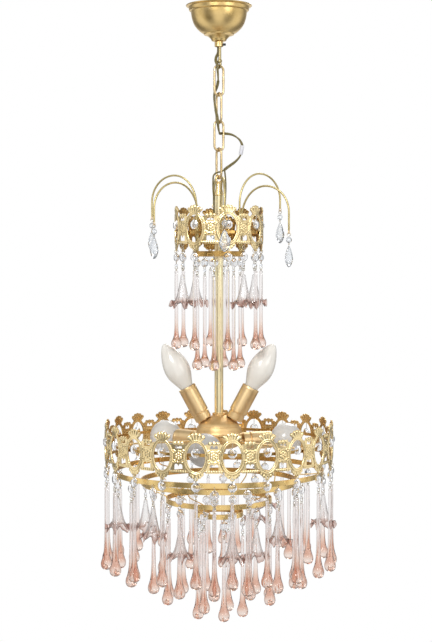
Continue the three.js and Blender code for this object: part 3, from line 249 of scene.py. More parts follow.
SPUN = brass("spun_brass", (0.8, 0.58, 0.25), (0.64, 0.44, 0.16), (0.27, 0.4), rings=True)
PIN = brass("pin_wire", (0.62, 0.58, 0.48), (0.4, 0.35, 0.27), (0.3, 0.5))
STEEL = plain("steel", (0.62, 0.62, 0.6), (0.5, 0.5, 0.48), (0.3, 0.5), 1.0)
BLACK = plain("blackened_steel", (0.035, 0.033, 0.03), (0.015, 0.014, 0.013), (0.3, 0.5), 0.6)
FLEX = plain("flex_olive", (0.2, 0.165, 0.055), (0.13, 0.1, 0.035), (0.35, 0.6), 0.0, 260)
SLEEVE = plain("sleeve_white", (0.72, 0.72, 0.76), (0.6, 0.6, 0.64), (0.4, 0.6))
CERAMIC = plain("terminal_white", (0.8, 0.79, 0.76), (0.72, 0.71, 0.68))
FROSTED = plain(
    "frosted_glass", (0.8, 0.77, 0.71), (0.75, 0.72, 0.66), (0.18, 0.26), 0.0, 30, 0.5)
# Painted shade: a darker copy of the milky globe glass, for the globe that lies in shade.
MILKY_IN_PAINTED_SHADE = plain(
    "milky_glass_in_painted_shade", (0.48, 0.47, 0.45), (0.42, 0.41, 0.39), (0.28, 0.4), 0.0, 30, 0.3)
MILKY = plain("milky_glass", (0.68, 0.66, 0.62), (0.58, 0.56, 0.53), (0.2, 0.3), 0.0, 30, 0.4)
# The colour after each glass's tint stops is the painted shade at its silhouette.
CRYSTAL = glass(
    "cut_crystal", ((0, (0.97, 0.98, 0.99)), (1, (0.9, 0.93, 0.97))), (0.38, 0.38, 0.4), 0.01, 1.54)
ALMOND = glass(
    "almond_crystal", ((0, (0.97, 0.98, 0.99)), (1, (0.92, 0.95, 0.98))), (0.4, 0.42, 0.45),
    0.04, 1.42, 0.82,
)
ROSE = glass("rose_glass", (
    (0.0, (0.98, 0.97, 0.97)), (0.3, (0.95, 0.89, 0.87)), (0.55, (0.93, 0.78, 0.7)),
    (0.8, (0.86, 0.6, 0.49)), (1.0, (0.78, 0.45, 0.34)),
), (0.36, 0.3, 0.28))
BELL = glass("bell_glass", (
    (0.0, (0.98, 0.98, 0.98)), (0.5, (0.97, 0.95, 0.94)), (0.75, (0.88, 0.78, 0.74)),
    (1.0, (0.76, 0.6, 0.55)),
), (0.5, 0.44, 0.42), 0.03, 1.36)


# Mesh helpers, in millimetres

PLAIN_TINT = 0.6


def placed(name, data):
    made = bpy.data.objects.new(name, data)
    bpy.context.scene.collection.objects.link(made)
    return made


class Build:
    """Collects vertices, faces, material numbers and a value for each point, a tint on glass and
    painted shade on brass hoops and galleries, for one piece.
    """

    def __init__(self):
        self.points, self.faces, self.slots, self.tints, self.count = [], [], [], [], 0

    def add(self, part, slot=0, move=None):
        """Adds points and faces, with a value for each point where the part has them: a tint, and
        on brass hoops and galleries a painted shade.
        """
        points = np.asarray(part[0], float)
        tint = part[2] if len(part) > 2 else PLAIN_TINT
        if move is not None:
            points = move(points)
        self.points.append(points)
        self.tints.append(np.broadcast_to(tint, len(points)))
        self.faces.extend([i + self.count for i in face] for face in part[1])
        self.slots.extend([slot] * len(part[1]))
        self.count += len(points)

    def finish(self, name, body, materials, nodes=(), sharp=35, attribute="tint", slot=None):
        """Makes the piece, which rides on the body and stands for the CAD nodes named."""
        mesh = bpy.data.meshes.new(name)
        mesh.from_pydata(np.concatenate(self.points) * MM, [], self.faces)
        for material in materials:
            mesh.materials.append(material)
        mesh.polygons.foreach_set("material_index", self.slots)
        values = mesh.attributes.new(attribute, "FLOAT", "POINT")
        values.data.foreach_set("value", np.concatenate(self.tints).astype(np.float32))
        mesh.update()
        mesh.shade_smooth()
        mesh.set_sharp_from_angle(angle=sharp * DEG)
        made = placed(name, mesh)
        if body:
            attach(made, body)
        if nodes:
            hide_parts(*nodes)
        return made


def single(name, body, part, material, node_name, move=None, **extra):
    """A piece of one part in one material."""
    build = Build()
    build.add(part, move=move)
    return build.finish(name, body, (material,), (node_name,), **extra)


def turned(profile, segments=48, tints=None):
    """A turned shape about Z from [radius, height] points; points on the axis become poles."""
    points, rings = [], []
    closed = profile[0] == profile[-1] and profile[0][0] > 1e-6
    for radius, height in (profile[:-1] if closed else profile):
        start = len(points)
        if radius < 1e-6:
            points.append((0, 0, height))
            rings.append([start] * segments)
            continue
        for i in range(segments):
            turn = TURN * i / segments
            points.append((radius * math.cos(turn), radius * math.sin(turn), height))
        rings.append(list(range(start, start + segments)))
    if closed:
        rings.append(rings[0])
    faces = []
    for below, above in zip(rings, rings[1:]):
        for i in range(segments):
            k = (i + 1) % segments
            face = [below[i], below[k], above[k], above[i]]
            face = [v for n, v in enumerate(face) if v != face[n - 1]]
            if len(face) > 2:
                faces.append(face)
    area = sum(a[0] * b[1] - b[0] * a[1] for a, b in zip(profile, [*profile[1:], profile[0]]))
    if area < 0:
        faces = [face[::-1] for face in faces]
    if tints is None:
        return np.array(points), faces
    counts = [len(set(ring)) for ring in (rings[:-1] if closed else rings)]
    return np.array(points), faces, np.repeat(tints[:len(counts)], counts)


def smooth(points, per_span=6):
    """Centripetal Catmull-Rom through points of any dimension."""
    given = [np.asarray(p, float) for p in points]
    given = [2 * given[0] - given[1]] + given + [2 * given[-1] - given[-2]]
    out = []
    for p0, p1, p2, p3 in zip(given, given[1:], given[2:], given[3:]):
        gaps = [np.linalg.norm(b - a) for a, b in ((p0, p1), (p1, p2), (p2, p3))]
        d0, d1, d2 = (max(gap, 1e-6) ** 0.5 for gap in gaps)
        m1 = ((p1 - p0) / d0 - (p2 - p0) / (d0 + d1) + (p2 - p1) / d1) * d1
        m2 = ((p2 - p1) / d1 - (p3 - p1) / (d1 + d2) + (p3 - p2) / d2) * d1
        for k in range(per_span):
            t = k / per_span
            h = (2 * t**3 - 3 * t**2 + 1, t**3 - 2 * t**2 + t, -2 * t**3 + 3 * t**2, t**3 - t**2)
            out.append(h[0] * p1 + h[1] * m1 + h[2] * p2 + h[3] * m2)
    return np.array(out + [given[-2]])


def curve(points, per_span):
    return [tuple(point) for point in smooth(points, per_span)]


def bands(rows, sides, closed):
    """Faces between neighbouring rings of points."""
    faces = []
    for i in range(rows if closed else rows - 1):
        a, b = i * sides, ((i + 1) % rows) * sides
        for k in range(sides):
            n = (k + 1) % sides
            faces.append([a + k, b + k, b + n, a + n])
    return faces


def tube(points, radius, sides=10, closed=False, section=None, twist=0.0):
    """A wire along points, of one radius or one for each; section scales it around the wire."""
    line = np.asarray(points, float)
    count = len(line)
    radii = np.broadcast_to(radius, count)
    ahead = np.roll(line, -1, 0) - np.roll(line, 1, 0)
    if not closed:
        ahead[0], ahead[-1] = line[1] - line[0], line[-1] - line[-2]
    ahead /= np.linalg.norm(ahead, axis=1)[:, None]
    side = np.cross(ahead[0], (0.0, 0.0, 1.0))
    if np.linalg.norm(side) < 0.1:
        side = np.cross(ahead[0], (0.0, 1.0, 0.0))
    out, far = [], 0.0
    for i in range(count):
        side = side - ahead[i] * (side @ ahead[i])
        side /= np.linalg.norm(side)
        up = np.cross(ahead[i], side)
        far += np.linalg.norm(line[i] - line[i - 1]) if i else 0
        for k in range(sides):
            turn = TURN * k / sides + twist * far
            reach = radii[i] * (section[k] if section else 1)
            out.append(line[i] + reach * (side * math.cos(turn) + up * math.sin(turn)))
    faces = bands(count, sides, closed)
    if not closed:
        faces.append(list(range(sides)))
        faces.append([(count - 1) * sides + k for k in range(sides)][::-1])
    return np.array(out), [f[::-1] for f in faces]


def around(radius, level, angle):
    """Moves points made about the Z axis out to radius and level, and turns them to angle."""
    c, s = math.cos(angle), math.sin(angle)

    def move(points):
        x, y, z = points[:, 0], points[:, 1] - radius, points[:, 2] + level
        return np.stack((x * c - y * s, x * s + y * c, z), 1)

    return move


def ring_wire(radius, level, wire, sides=6, steps=14, plane="yz"):
    turns = [TURN * i / steps for i in range(steps)]
    if plane == "yz":
        line = [(0, radius * math.sin(t), level + radius * math.cos(t)) for t in turns]
    else:
        line = [(radius * math.sin(t), 0, level + radius * math.cos(t)) for t in turns]
    return tube(line, wire / 2, sides, closed=True)


def ball(radius, level, segments=14, rows=7):
    turns = [math.pi * i / rows for i in range(rows + 1)]
    profile = [(radius * math.sin(turn), level - radius * math.cos(turn)) for turn in turns]
    return turned(profile, segments)


def octagon_bead(level):
    """A flat cut octagon that faces outwards, with two bevels on each side and a table."""
    points, faces = [], []
    front = ((1.0, BEAD_DEPTH * 0.16), (0.8, BEAD_DEPTH * 0.62), (0.5, BEAD_DEPTH))
    rings = [(share, -out) for share, out in front[::-1]] + list(front)
    for n, (share, out) in enumerate(rings):
        reach = BEAD_RADIUS * share
        shift = 0.5 if n in (1, 4) else 0
        for i in range(8):
            turn = TURN * (i + 0.5 + shift) / 8
            points.append((reach * math.sin(turn), out, level + reach * math.cos(turn)))
    for n in range(5):
        here, there = n * 8, n * 8 + 8
        for i in range(8):
            k = (i + 1) % 8
            faces.append([here + i, here + k, there + i])
            faces.append([here + k, there + k, there + i])
    faces.append(list(range(8))[::-1])
    faces.append(list(range(40, 48)))
    return np.array(points), [f[::-1] for f in faces]


# Camera, turned down a little from the level

CAMERA_TILT = 2.03
camera = placed("camera", bpy.data.cameras.new("camera"))
camera.location = (-0.004, -1.975, -0.362)
camera.rotation_euler = ((90 - CAMERA_TILT) * DEG, 0, 0)
camera.data.sensor_width = 36
camera.data.lens = 80.8
camera.data.clip_start, camera.data.clip_end = 0.02, 60
bpy.context.scene.camera = camera

# Flex: a flat twin in pieces that each cross one joint of the chain, and its two cores by the stem

along = np.array((math.cos(CHAIN_TWIST), math.sin(CHAIN_TWIST), 0))
across = np.array((-math.sin(CHAIN_TWIST), math.cos(CHAIN_TWIST), 0))
FLEX_WIDTH = 4
CORE_WIDTH = 2.3
# Two round cores side by side, as a share of the flex's half width
CORE_MIDDLE, CORE_REACH = 0.44, 0.56
TWIN = [
    CORE_MIDDLE * abs(math.cos(a)) + math.sqrt(CORE_REACH**2 - (CORE_MIDDLE * math.sin(a)) ** 2)
    for a in np.arange(16) * math.pi / 8
]
LEFT_CORE = 238 * DEG
RIGHT_CORE = 97 * DEG


def chain_point(forward, aside, height):
    return along * forward + across * aside + (0, 0, height)


def stem_point(radius, angle, height):
    return np.array((radius * math.sin(angle), -radius * math.cos(angle), height))


def flex(name, line, width, nodes):
    """One stretch of flex or core, a tube along its line, with its transform baked into its points.
    """
    piece = Build()
    if width == FLEX_WIDTH:
        piece.add(tube(line, width / 2, len(TWIN), section=TWIN, twist=0.06))
    else:
        piece.add(tube(line, width / 2, 14))
    made = piece.finish(name, None, (FLEX,), nodes, slot="olive_flex")
    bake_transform(made)


upper = smooth([chain_point(*point) for point in (
    (0, 7.7, -14.6), (0, 7, -20), (0, 3.6, -28), (0, 2.4, -38), (0, 2.4, -52), (0, 2.4, -66),
    (-3.1, 2.2, -72.5), (-4.7, 0.2, -77.5), (-4.7, -3.2, -82.5), (-4.4, -4.2, -90),
    (-3.2, -3.4, -98), (-1.4, 0, -106), (-1.4, 3.8, -113), (-4.3, 4.8, -121), (-4.7, 4.2, -134),
    (-4.6, 0, -146), (-4.5, -4.2, -156), (-3.9, -4.4, -164), (-1.8, -2.6, -171),
    (0.8, 0.6, -174.5), (3.6, 4.2, -175.3), (8, 5.4, -175),
)] + [
    (16, 6.5, -176.4), (23, 6.5, -179.5), (28.6, 6, -184.4), (31.6, 5.5, -190.5),
    (31.7, 5.4, -193.5),
], 5)
first = int(np.argmax(upper[:, 2] < -104))
second = int(np.argmax(upper[:, 2] < -141.5))
sleeve_line = smooth(((31.9, 5.4, -191.8), (31.3, 5.3, -196), (29.6, 5, -204.4)), 6)
sleeve_radii = np.array((2.5,) + (2.8,) * (len(sleeve_line) - 2) + (2.5,))
sleeve = single(
    "splice_sleeve", "chain_link_3", tube(sleeve_line, sleeve_radii, 20), SLEEVE, "flex_sleeve",
    slot="white_insulation", sharp=30,
)
for name, line, bodies, start, end, with_pieces in (
    ("flex_top", upper[:first + 1], ("ceiling_fixing", "chain_link_1"), -80, -101, ()),
    ("flex_second", upper[first:second + 1], ("chain_link_1", "chain_link_2"), -112, -136, ()),
    ("flex_third", upper[second:], ("chain_link_2", "chain_link_3"), -148, -172, (sleeve,)),
):
    flex(name, line, FLEX_WIDTH, ("flex_upper",))

lower = smooth((
    (30.4, 5.2, -201.5), (29.2, 4.9, -205.8), (23.4, 4, -213), (16.2, 3, -218.6),
    (10.4, 1.8, -222.8), (7.2, 1.4, -225.4),
), 6)
bodies = ("chain_link_3", "chain_link_4")
flex("flex_fourth", lower, FLEX_WIDTH, ("flex_lower",))
fork = (7.6, 1.4, -225.1)
left = smooth([fork] + [chain_point(*point) for point in (
    (2.6, -0.4, -228), (-0.6, 0, -228.4), (-4, 0.8, -229.6), (-6.9, 2.4, -233), (-7.2, 3.6, -240),
    (-7.2, 3.4, -252),
)] + [stem_point(radius, LEFT_CORE, height) for radius, height in (
    (8, -266), (8.2, -280), (8.4, -284), (6.5, -286),
)], 5)
right = smooth([
    fork, (8.4, 1.4, -231), (9, 1.4, -238), (9.4, 1.4, -247), (9.2, 1.4, -257),
] + [stem_point(radius, RIGHT_CORE, height) for radius, height in (
    (8.6, -270), (8.4, -285), (8.6, -290), (6.5, -292),
)], 5)
bodies = ("chain_link_4", BODY)
for name, line in (("left_core", left), ("right_core", right)):
    flex(name, line, CORE_WIDTH, ("flex_lower",))

# Turned, bent and cut parts of the hanging strings

DROP_SIDES = 26
DROP_OUTLINE = (
    (0, 0), (3.6, 0.75), (6.4, 3), (7.8, 7), (7.6, 10.8), (6.2, 15), (4.9, 19.4), (4, 24.6),
    (3.3, 32), (2.85, 45),
)
BALL_OUTLINE = (
    (0, 0), (3.6, 0.75), (6.2, 3), (7.3, 6.8), (6.7, 10.4), (5, 13.8), (3.7, 17.6), (3, 23),
    (2.6, 31), (2.5, 43),
)
# Heights above a drop's bottom, and the tint there; the paler band low in the bulb is partly the
# glass's own grading and partly a painted highlight.
DROP_TINTS = (
    (0, 2.5, 5, 8, 12, 18, 26, 38, 54, 72),
    (1, 0.8, 0.5, 0.56, 0.95, 1, 0.76, 0.46, 0.27, 0.14),
)
BELL_SIDES = 60
BELL_WALL = 0.75
BELL_HEIGHT = 41
BELL_OUTLINE = (
    (1.6, 0), (2.4, -1.5), (3.3, -6), (4.8, -14), (6.6, -21.5), (8.4, -27), (11, -31.6),
    (14.3, -34.6), (17.4, -35.8),
)
BELL_FALL = 36.4
LOBES, RIPPLES = 7, 12


def drop(top, bottom, outline):
    """A long glass drop, clear at its neck and rose in its bulb."""
    rows = [(r, bottom + h) for r, h in outline]
    rows += [(2.45, bottom + 0.6 * (top - bottom)), (2.4, top - 9), (2.1, top - 4.5)]
    line = smooth(rows + [(2.5, top - 2), (1.7, top - 0.3), (0.0, top)], 4)
    line[:, 0] = np.maximum(line[:, 0], 0)
    tints = np.interp(line[:, 1] - bottom, *DROP_TINTS)
    return turned([tuple(p) for p in line], DROP_SIDES, tints)


def bell(top, turn):
    """A blown bell flower: a clear cone and a wavy rose rim, as one open shell with a wall."""
    line = smooth(BELL_OUTLINE, 4)
    points, shades = [], []
    rows = [(p, 0.0) for p in line] + [(p, BELL_WALL) for p in line[::-1]]
    for (radius, down), inset in rows:
        flare = max(0.0, (radius - 8.5) / 8.1)
        for i in range(BELL_SIDES):
            a = TURN * i / BELL_SIDES
            wave = math.sin(LOBES * a + turn) + 0.5 * math.sin(RIPPLES * a + 2 * turn)
            r = radius + 0.12 * math.cos(RIPPLES * a) + flare * 1.3 * math.cos(LOBES * a + turn)
            r = max(r - inset * (0.9 - 0.7 * flare), 0.4)
            z = top + down * BELL_HEIGHT / BELL_FALL + flare**1.2 * 3.9 * wave - inset * 0.9 * flare
            points.append((r * math.cos(a), r * math.sin(a), z))
            shades.append(min(1.0, max(0.0, -down / BELL_FALL) ** 1.5 * 0.75 + 0.35 * flare))
    return np.array(points), bands(len(rows), BELL_SIDES, True), np.array(shades)


def hang(build, move, kind, length, turn=0.0, lead=0.0):
    """One string from a hole at the origin: hook, cut octagon, links, ball and a drop or bell."""
    crystal, pin, colour = 0, 1, 2

    def ring(radius, level, steps, plane="yz"):
        build.add(ring_wire(radius, level, PIN_WIRE, 5, steps, plane), pin, move=move)

    build.add(ring_wire(HOOK_RADIUS, -HOOK_RADIUS, HOOK_WIRE), pin, move=move)
    if lead:
        ring(2.1, -lead / 2 - 2.6, 12, "xz")
        ring(2.4, -lead - 1.6, 12)
    build.add(octagon_bead(-10.9 - lead), crystal, move=move)
    ring(1.7, -18.1 - lead, 10, "xz")
    build.add(ball(2.3, -21.6 - lead), crystal, move=move)
    ring(1.9, -25.2 - lead, 10)
    ring(1.7, -27.8 - lead, 10, "xz")
    if kind == "bell":
        build.add(bell(BELL_HEIGHT - length, turn), colour, move=move)
    else:
        outline = DROP_OUTLINE if kind == "drop" else BALL_OUTLINE
        build.add(drop(-28.6 - lead, -length, outline), colour, move=move)


def pendant_piece(name, node_name, radius, level, angle, length, kind):
    build = Build()
    hang(build, around(radius, level, angle), kind, length)
    build.finish(name, node_name, (CRYSTAL, PIN, ROSE), (node_name,), slot="rose_glass")


# The stamped strip: one height and one edge function over [along, up], cut out on a fine grid


def inside_ellipse(x, y, a, b):
    k0 = np.hypot(x / a, y / b)
    k1 = np.hypot(x / a**2, y / b**2)
    return k0 * (1 - k0) / np.maximum(k1, 1e-6)


def inside_circle(x, y, cx, cy, radius):
    return radius - np.hypot(x - cx, y - cy)


def inside_box(x, y, x0, x1, y0, y1):
    return np.minimum(np.minimum(x - x0, x1 - x), np.minimum(y - y0, y1 - y))


def to_segment(x, y, ax, ay, bx, by):
    dx, dy = bx - ax, by - ay
    t = np.clip(((x - ax) * dx + (y - ay) * dy) / (dx * dx + dy * dy), 0, 1)
    return np.hypot(x - ax - t * dx, y - ay - t * dy)


OVAL = (11.8, 18.3)
FAN = [((2.2 * i, 20.5), (4.6 * i, 28.8 - 0.85 * i * i)) for i in range(-2, 3)]


def strip_edge(u, y):
    """Distance inside the metal, over the strip's own repeat."""
    x = (u + PITCH / 2) % PITCH - PITCH / 2
    w = u % PITCH - PITCH / 2
    metal = [inside_ellipse(x, y, 15.6, 22.6), inside_box(w, y, -11, 11, -20.4, 16.6)]
    metal += [inside_circle(np.abs(w), y, *knob) for knob in ((0, 17.7, 2.7), (5.1, 17.2, 2.7))]
    for start, end in FAN:
        metal += [2.5 - to_segment(x, y, *start, *end), inside_circle(x, y, *end, 2.7)]
    metal.append(np.minimum(((y + 30.8) * 0.92 - np.abs(x)) * 0.74, -17 - y))
    tip = ((7.4, -22, 2.5), (4.7, -24.8, 2.3), (0, -27.6, 3.0))
    metal += [inside_circle(np.abs(x), y, *knob) for knob in tip]
    cuts = [inside_ellipse(x, y, *OVAL), inside_circle(x, y, 0, TIP_HOLE_LEVEL, 1.2)]
    cuts += [inside_box(w, y, -5.0, 5.0, 10.9, 12.7), inside_box(w, y, -5.7, 5.7, -16.4, -12)]
    cuts += [inside_circle(np.abs(w), y, *lobe) for lobe in ((2.7, 13.3, 2.0), (2.9, -11.7, 2.8))]
    return np.minimum(np.maximum.reduce(metal), -np.maximum.reduce(cuts))


def dome(distance, radius):
    return np.sqrt(np.clip(1 - (distance / radius) ** 2, 0, 1))


def strip_relief(u, y):
    """Raised height of the stamping above the flat sheet, in millimetres."""
    x = (u + PITCH / 2) % PITCH - PITCH / 2
    w = u % PITCH - PITCH / 2
    out = -inside_ellipse(x, y, *OVAL)
    # The oval's double border and the hollow between
    raised = [0.95 * dome(out - 0.9, 1.0), 0.4 * dome(out - 2, 2.6), 0.95 * dome(out - 3.1, 1.0)]
    for start, end in FAN:
        raised.append(0.7 * dome(to_segment(x, y, *start, *end), 1.9))
        raised.append(1.0 * dome(np.hypot(x - end[0], y - end[1]), 2.0))
    # The plate's knobs, rosette and curls
    raised += [0.85 * dome(np.hypot(np.abs(w) - at, y - 17.6), 2.0) for at in (0, 5.1)]
    raised.append(1.0 * dome(np.hypot(w, y - 1), 1.9))
    for k in range(6):
        turn = (k + 0.5) * math.pi / 3
        petal = np.hypot(w - 3.4 * math.cos(turn), y - (1 + 3.4 * math.sin(turn)))
        raised.append(0.75 * dome(petal, 1.55))
    for level in (6.9, -5.6):
        raised.append(0.7 * dome(np.hypot(np.abs(w) - 6.3, y - level) - 1.7, 0.75))
        stalk = to_segment(np.abs(w), y, 0, level + math.copysign(0.9, level), 4.7, level)
        raised.append(0.6 * dome(stalk, 0.7))
    # Beading along the foot, and the tip
    beads = np.hypot(np.abs((u % 3.1) - 1.55), y + 18.4)
    raised.append(0.5 * dome(beads, 1.3) * (np.abs(x) > 11))
    for at, level in ((7.4, -22), (4.7, -24.8)):
        raised.append(0.4 * dome(np.hypot(np.abs(x) - at, y - level), 1.9))
    raised.append(0.4 * dome(np.hypot(x, y + 27.6) - 2.0, 0.8))
    raised.append(0.4 * dome(np.hypot(x, y + 24.2), 1.6))
    return np.maximum.reduce(raised)


def strip(cells):
    """Front, back and edges of a run of cells as [along, up, out] points."""
    step = PITCH / 76
    start, end = -16.0, cells * PITCH - 16.0 - 0.3
    us = np.arange(math.floor(start / step) - 1, math.ceil(end / step) + 2) * step
    ys = np.arange(-32, 33.01, step)
    grid_u, grid_y = np.meshgrid(us, ys, indexing="ij")
    edge = strip_edge(grid_u, grid_y)
    edge = np.minimum(edge, np.minimum(grid_u - start, end - grid_u))
    edge[np.abs(edge) < 1e-4] = 1e-4
    flat, key_of, faces, walls = [], {}, [], []

    def vertex(key, *place):
        if key not in key_of:
            key_of[key] = len(flat)
            flat.append(place)
        return key_of[key]

    def crossing(i, j, p, q):
        t = min(0.94, max(0.06, edge[i, j] / (edge[i, j] - edge[p, q])))
        place = us[i] + t * (us[p] - us[i]), ys[j] + t * (ys[q] - ys[j])
        return vertex(frozenset(((i, j), (p, q))), *place)

    solid = edge > 0
    some = solid[:-1, :-1] | solid[1:, :-1] | solid[:-1, 1:] | solid[1:, 1:]
    for i, j in zip(*np.nonzero(some)):
        loop = ((i, j), (i + 1, j), (i + 1, j + 1), (i, j + 1))
        face, cut_at = [], []
        for a, b in zip(loop, loop[1:] + loop[:1]):
            if solid[a]:
                face.append(vertex(a, us[a[0]], ys[a[1]]))
            if solid[a] != solid[b]:
                face.append(crossing(*a, *b))
                cut_at.append((face[-1], bool(solid[a])))
        faces.append(face)
        for n, (at, leaving) in enumerate(cut_at):
            if leaving:
                walls.append((at, cut_at[(n + 1) % len(cut_at)][0]))
    flat = np.array(flat)
    relief = strip_relief(flat[:, 0], flat[:, 1])
    count = len(flat)
    front = np.column_stack((flat, 0.6 + relief))
    back = np.column_stack((flat, -0.6 + 0.55 * relief))
    everything = faces + [[v + count for v in face[::-1]] for face in faces]
    everything += [[b, a, a + count, b + count] for a, b in walls]
    # Painted shade and highlight: a point is lighter where the stamping stands above its blurred
    # surroundings and darker where it sinks below them; the back is left at zero and given its
    # painted shade by gallery.
    high = strip_relief(grid_u, grid_y)
    around_it = sum(np.roll(high, (i, j), (0, 1)) for i in range(-2, 3) for j in range(-2, 3)) / 25
    near = np.rint((flat - (us[0], ys[0])) / step).astype(int)
    shade = np.clip(0.6 + 1.3 * (high - around_it), 0.12, 1)[near[:, 0], near[:, 1]]
    return np.concatenate((front, back)), everything, np.concatenate((shade, np.zeros(count)))


def gallery(name, strip_parts, radius, phase, level, inside):
    """The strip bent onto a ring; the last argument is the painted shade value of its back."""
    flat, faces, shade = strip_parts
    turn = phase + flat[:, 0] / radius
    out = radius + flat[:, 2]
    points = np.stack((out * np.sin(turn), -out * np.cos(turn), flat[:, 1] + level), 1)
    single(
        f"stamped_{name}", BODY, (points, faces, np.where(shade > 0, shade, inside)), STAMPED, name,
        sharp=50, attribute="relief", slot="gilt_brass",
    )


# The last column is the painted shade of each strip's back, darker for the crown.
for name, arcs, cells, radius, phase, level, inside in (
    ("main", 3, MAIN_CELLS // 3, MAIN_RADIUS, MAIN_PHASE, MAIN_LEVEL, 0),
    ("crown", 2, CROWN_CELLS // 2, CROWN_RADIUS, CROWN_PHASE, CROWN_LEVEL, 0.12),
):
    parts = strip(cells)
    for arc in range(arcs):
        start = phase + arc * cells * PITCH / radius
        gallery(f"{name}_gallery_{arc + 1}", parts, radius, start, level, inside)

# Flat hoops with spokes, wires and rings


def rounded(x0, x1, y0, y1, soft):
    """A rectangle with its corners cut."""
    return [
        (x0, y0 + soft), (x0 + soft, y0), (x1 - soft, y0), (x1, y0 + soft),
        (x1, y1 - soft), (x1 - soft, y1), (x0 + soft, y1), (x0, y1 - soft),
    ]


def flat_hoop(outer, level, height=HOOP_HEIGHT, outer_face_shade=0.85):
    """A flat hoop with painted shade on its inner face; the last argument is the painted shade
    value of its outer face.
    """
    low = level - HOOP_HEIGHT / 2
    section = rounded(outer - HOOP_THICKNESS, outer, low, low + height, 0.25)
    return turned(section + section[:1], 96, (0, 0.5, 0.7, outer_face_shade, outer_face_shade, 0.7, 0.5, 0))


def spoke(start, end, width, thickness, level, angle):
    section = rounded(-width / 2, width / 2, -thickness / 2, thickness / 2, 0.3)
    points = [(x, -out, level + z) for out in (start, end) for x, z in section]
    faces = [[k, (k + 1) % 8, 8 + (k + 1) % 8, 8 + k] for k in range(8)]
    faces += [list(range(8))[::-1], list(range(8, 16))]
    return around(0, 0, angle)(np.array(points, float)), faces


def collar_ring(radius, bore, level):
    low, high, soft = level - 2, level + 2, 0.4
    return turned((
        (bore, low), (radius - soft, low), (radius, low + soft), (radius, high - soft),
        (radius - soft, high), (bore, high), (bore, low),
    ), 40)


def spoked(hoop, collar, bore, phase, width, hoop_height):
    outer, level = hoop
    build = Build()
    # Painted shade: the outer face is darkened as well as the inner one.
    build.add(flat_hoop(outer, level, hoop_height, 0.2))
    build.add(collar_ring(collar, bore, level))
    for i in range(3):
        angle = phase + TURN * i / 3
        build.add(spoke(collar - 1, outer - HOOP_THICKNESS / 2, width, 1.6, level, angle))
    return build


for name, *sizes in (
    ("main_hoop", MAIN_HOOP, 21, NUT_BORE, 49 * DEG, 8),
    ("crown_hoop", CROWN_HOOP, 9, STEM_BORE, 34 * DEG, 6),
):
    piece = spoked(*sizes, SPOKED_HOOP_HEIGHT)
    piece.finish(f"{name}_ring", BODY, (HOOP,), (name,), attribute="relief")


def arch_line(top, tip):
    """A straight leg, half an ellipse and a short straight end."""
    foot_radius, foot = LOWER_HOOP[0] - HOOP_THICKNESS, LOWER_HOOP[1]
    middle, half = (foot_radius + ARCH_TIP_RADIUS) / 2, (ARCH_TIP_RADIUS - foot_radius) / 2
    start, end = top - 42, max(tip + 2, top - 36)
    rows = [(0, -foot_radius, foot + (start - foot) * i / 4) for i in range(4)]
    for turn in np.linspace(0, math.pi, 33):
        low = start if turn < math.pi / 2 else end
        rows.append((0, half * math.cos(turn) - middle, low + (top - low) * math.sin(turn)))
    return np.array(rows + [(0, -ARCH_TIP_RADIUS, tip)])


piece = spoked(LOWER_HOOP, 9, STEM_BORE, ARCH_PHASE, 5, HOOP_HEIGHT)
for n, (top, tip) in enumerate(ARCH_HEIGHTS):
    angle = ARCH_PHASE + n * 60 * DEG
    piece.add(tube(arch_line(top, tip), 1.35, 12), 1, around(0, 0, angle))
    ring = ring_wire(ARCH_RING_RADIUS, tip - ARCH_RING_RADIUS, 1.0, 8, 16, "xz")
    piece.add(ring, move=around(ARCH_TIP_RADIUS, 0, angle))
piece.finish("crown_arches", BODY, (HOOP, ARCHED), ("crown_lower_hoop",), attribute="relief")

for order, ((radius, level), above) in enumerate(zip(DROP_RINGS, (MAIN_HOOP,) + DROP_RINGS)):
    piece = Build()
    piece.add(flat_hoop(radius, level))
    above_radius, above_level = above
    reach = above_radius - HOOP_THICKNESS - 1.4
    foot = radius - HOOP_THICKNESS / 2
    line = smooth((
        (0, -reach, above_level + 2.5), (0, -reach, above_level - 5), (0, -foot, level + 5),
        (0, -foot, level),
    ), 6)
    for i in range(3):
        turn = around(0, 0, HANGER_PHASES[order] + TURN * i / 3)
        piece.add(tube(line, 0.8, 8), move=turn)
    names = f"plain_ring_{order + 1}", f"drop_ring_{order + 1}"
    piece.finish(names[0], BODY, (HOOP,), names[1:], attribute="relief")

# Canopy, rod, chain and stem

canopy_line = [
    (41, -2), (43.6, -2), (44.7, -2.3), (45, -2.9), (44.4, -3.6), (42.2, -4.1), (41.2, -4.9),
    (40.9, -8.8), (40.2, -9.7), (39, -10.1), (38.2, -10.8),
]
bowl = curve((
    (38.2, -10.8), (37.6, -16), (36.4, -21.5), (33.9, -28), (30, -33.6), (25, -38.2), (20.8, -40.9),
), 5)
canopy_line += bowl[1:]
canopy_line += [
    (20.4, -42.1), (18.9, -42.6), (17.4, -42.9), (14.6, -44.4), (12.6, -46.2), (11.2, -47.6),
    (10.6, -48.4), (10.3, -49.4), (9.4, -50.6), (8.4, -51), (4.75, -51), (4.75, -49.8),
    (8.2, -49.6), (9.4, -47.2), (16.5, -42), (24, -37), (32.4, -28), (36, -18), (36.8, -11.6),
    (39.4, -9), (39.6, -2), (41, -2),
]
single("canopy_bowl", "canopy", turned(canopy_line, 96), SPUN, "canopy", sharp=28)
collar = turned((
    (4.75, -58.3), (5.5, -58.3), (5.9, -57.9), (5.9, -51.7), (5.5, -51.3), (4.75, -51.3),
    (4.75, -58.3),
))
single("canopy_neck", "canopy", collar, GOLD, "canopy_collar")

UP = np.array((0, 0, 1.0))
rod_at = across * -2.5


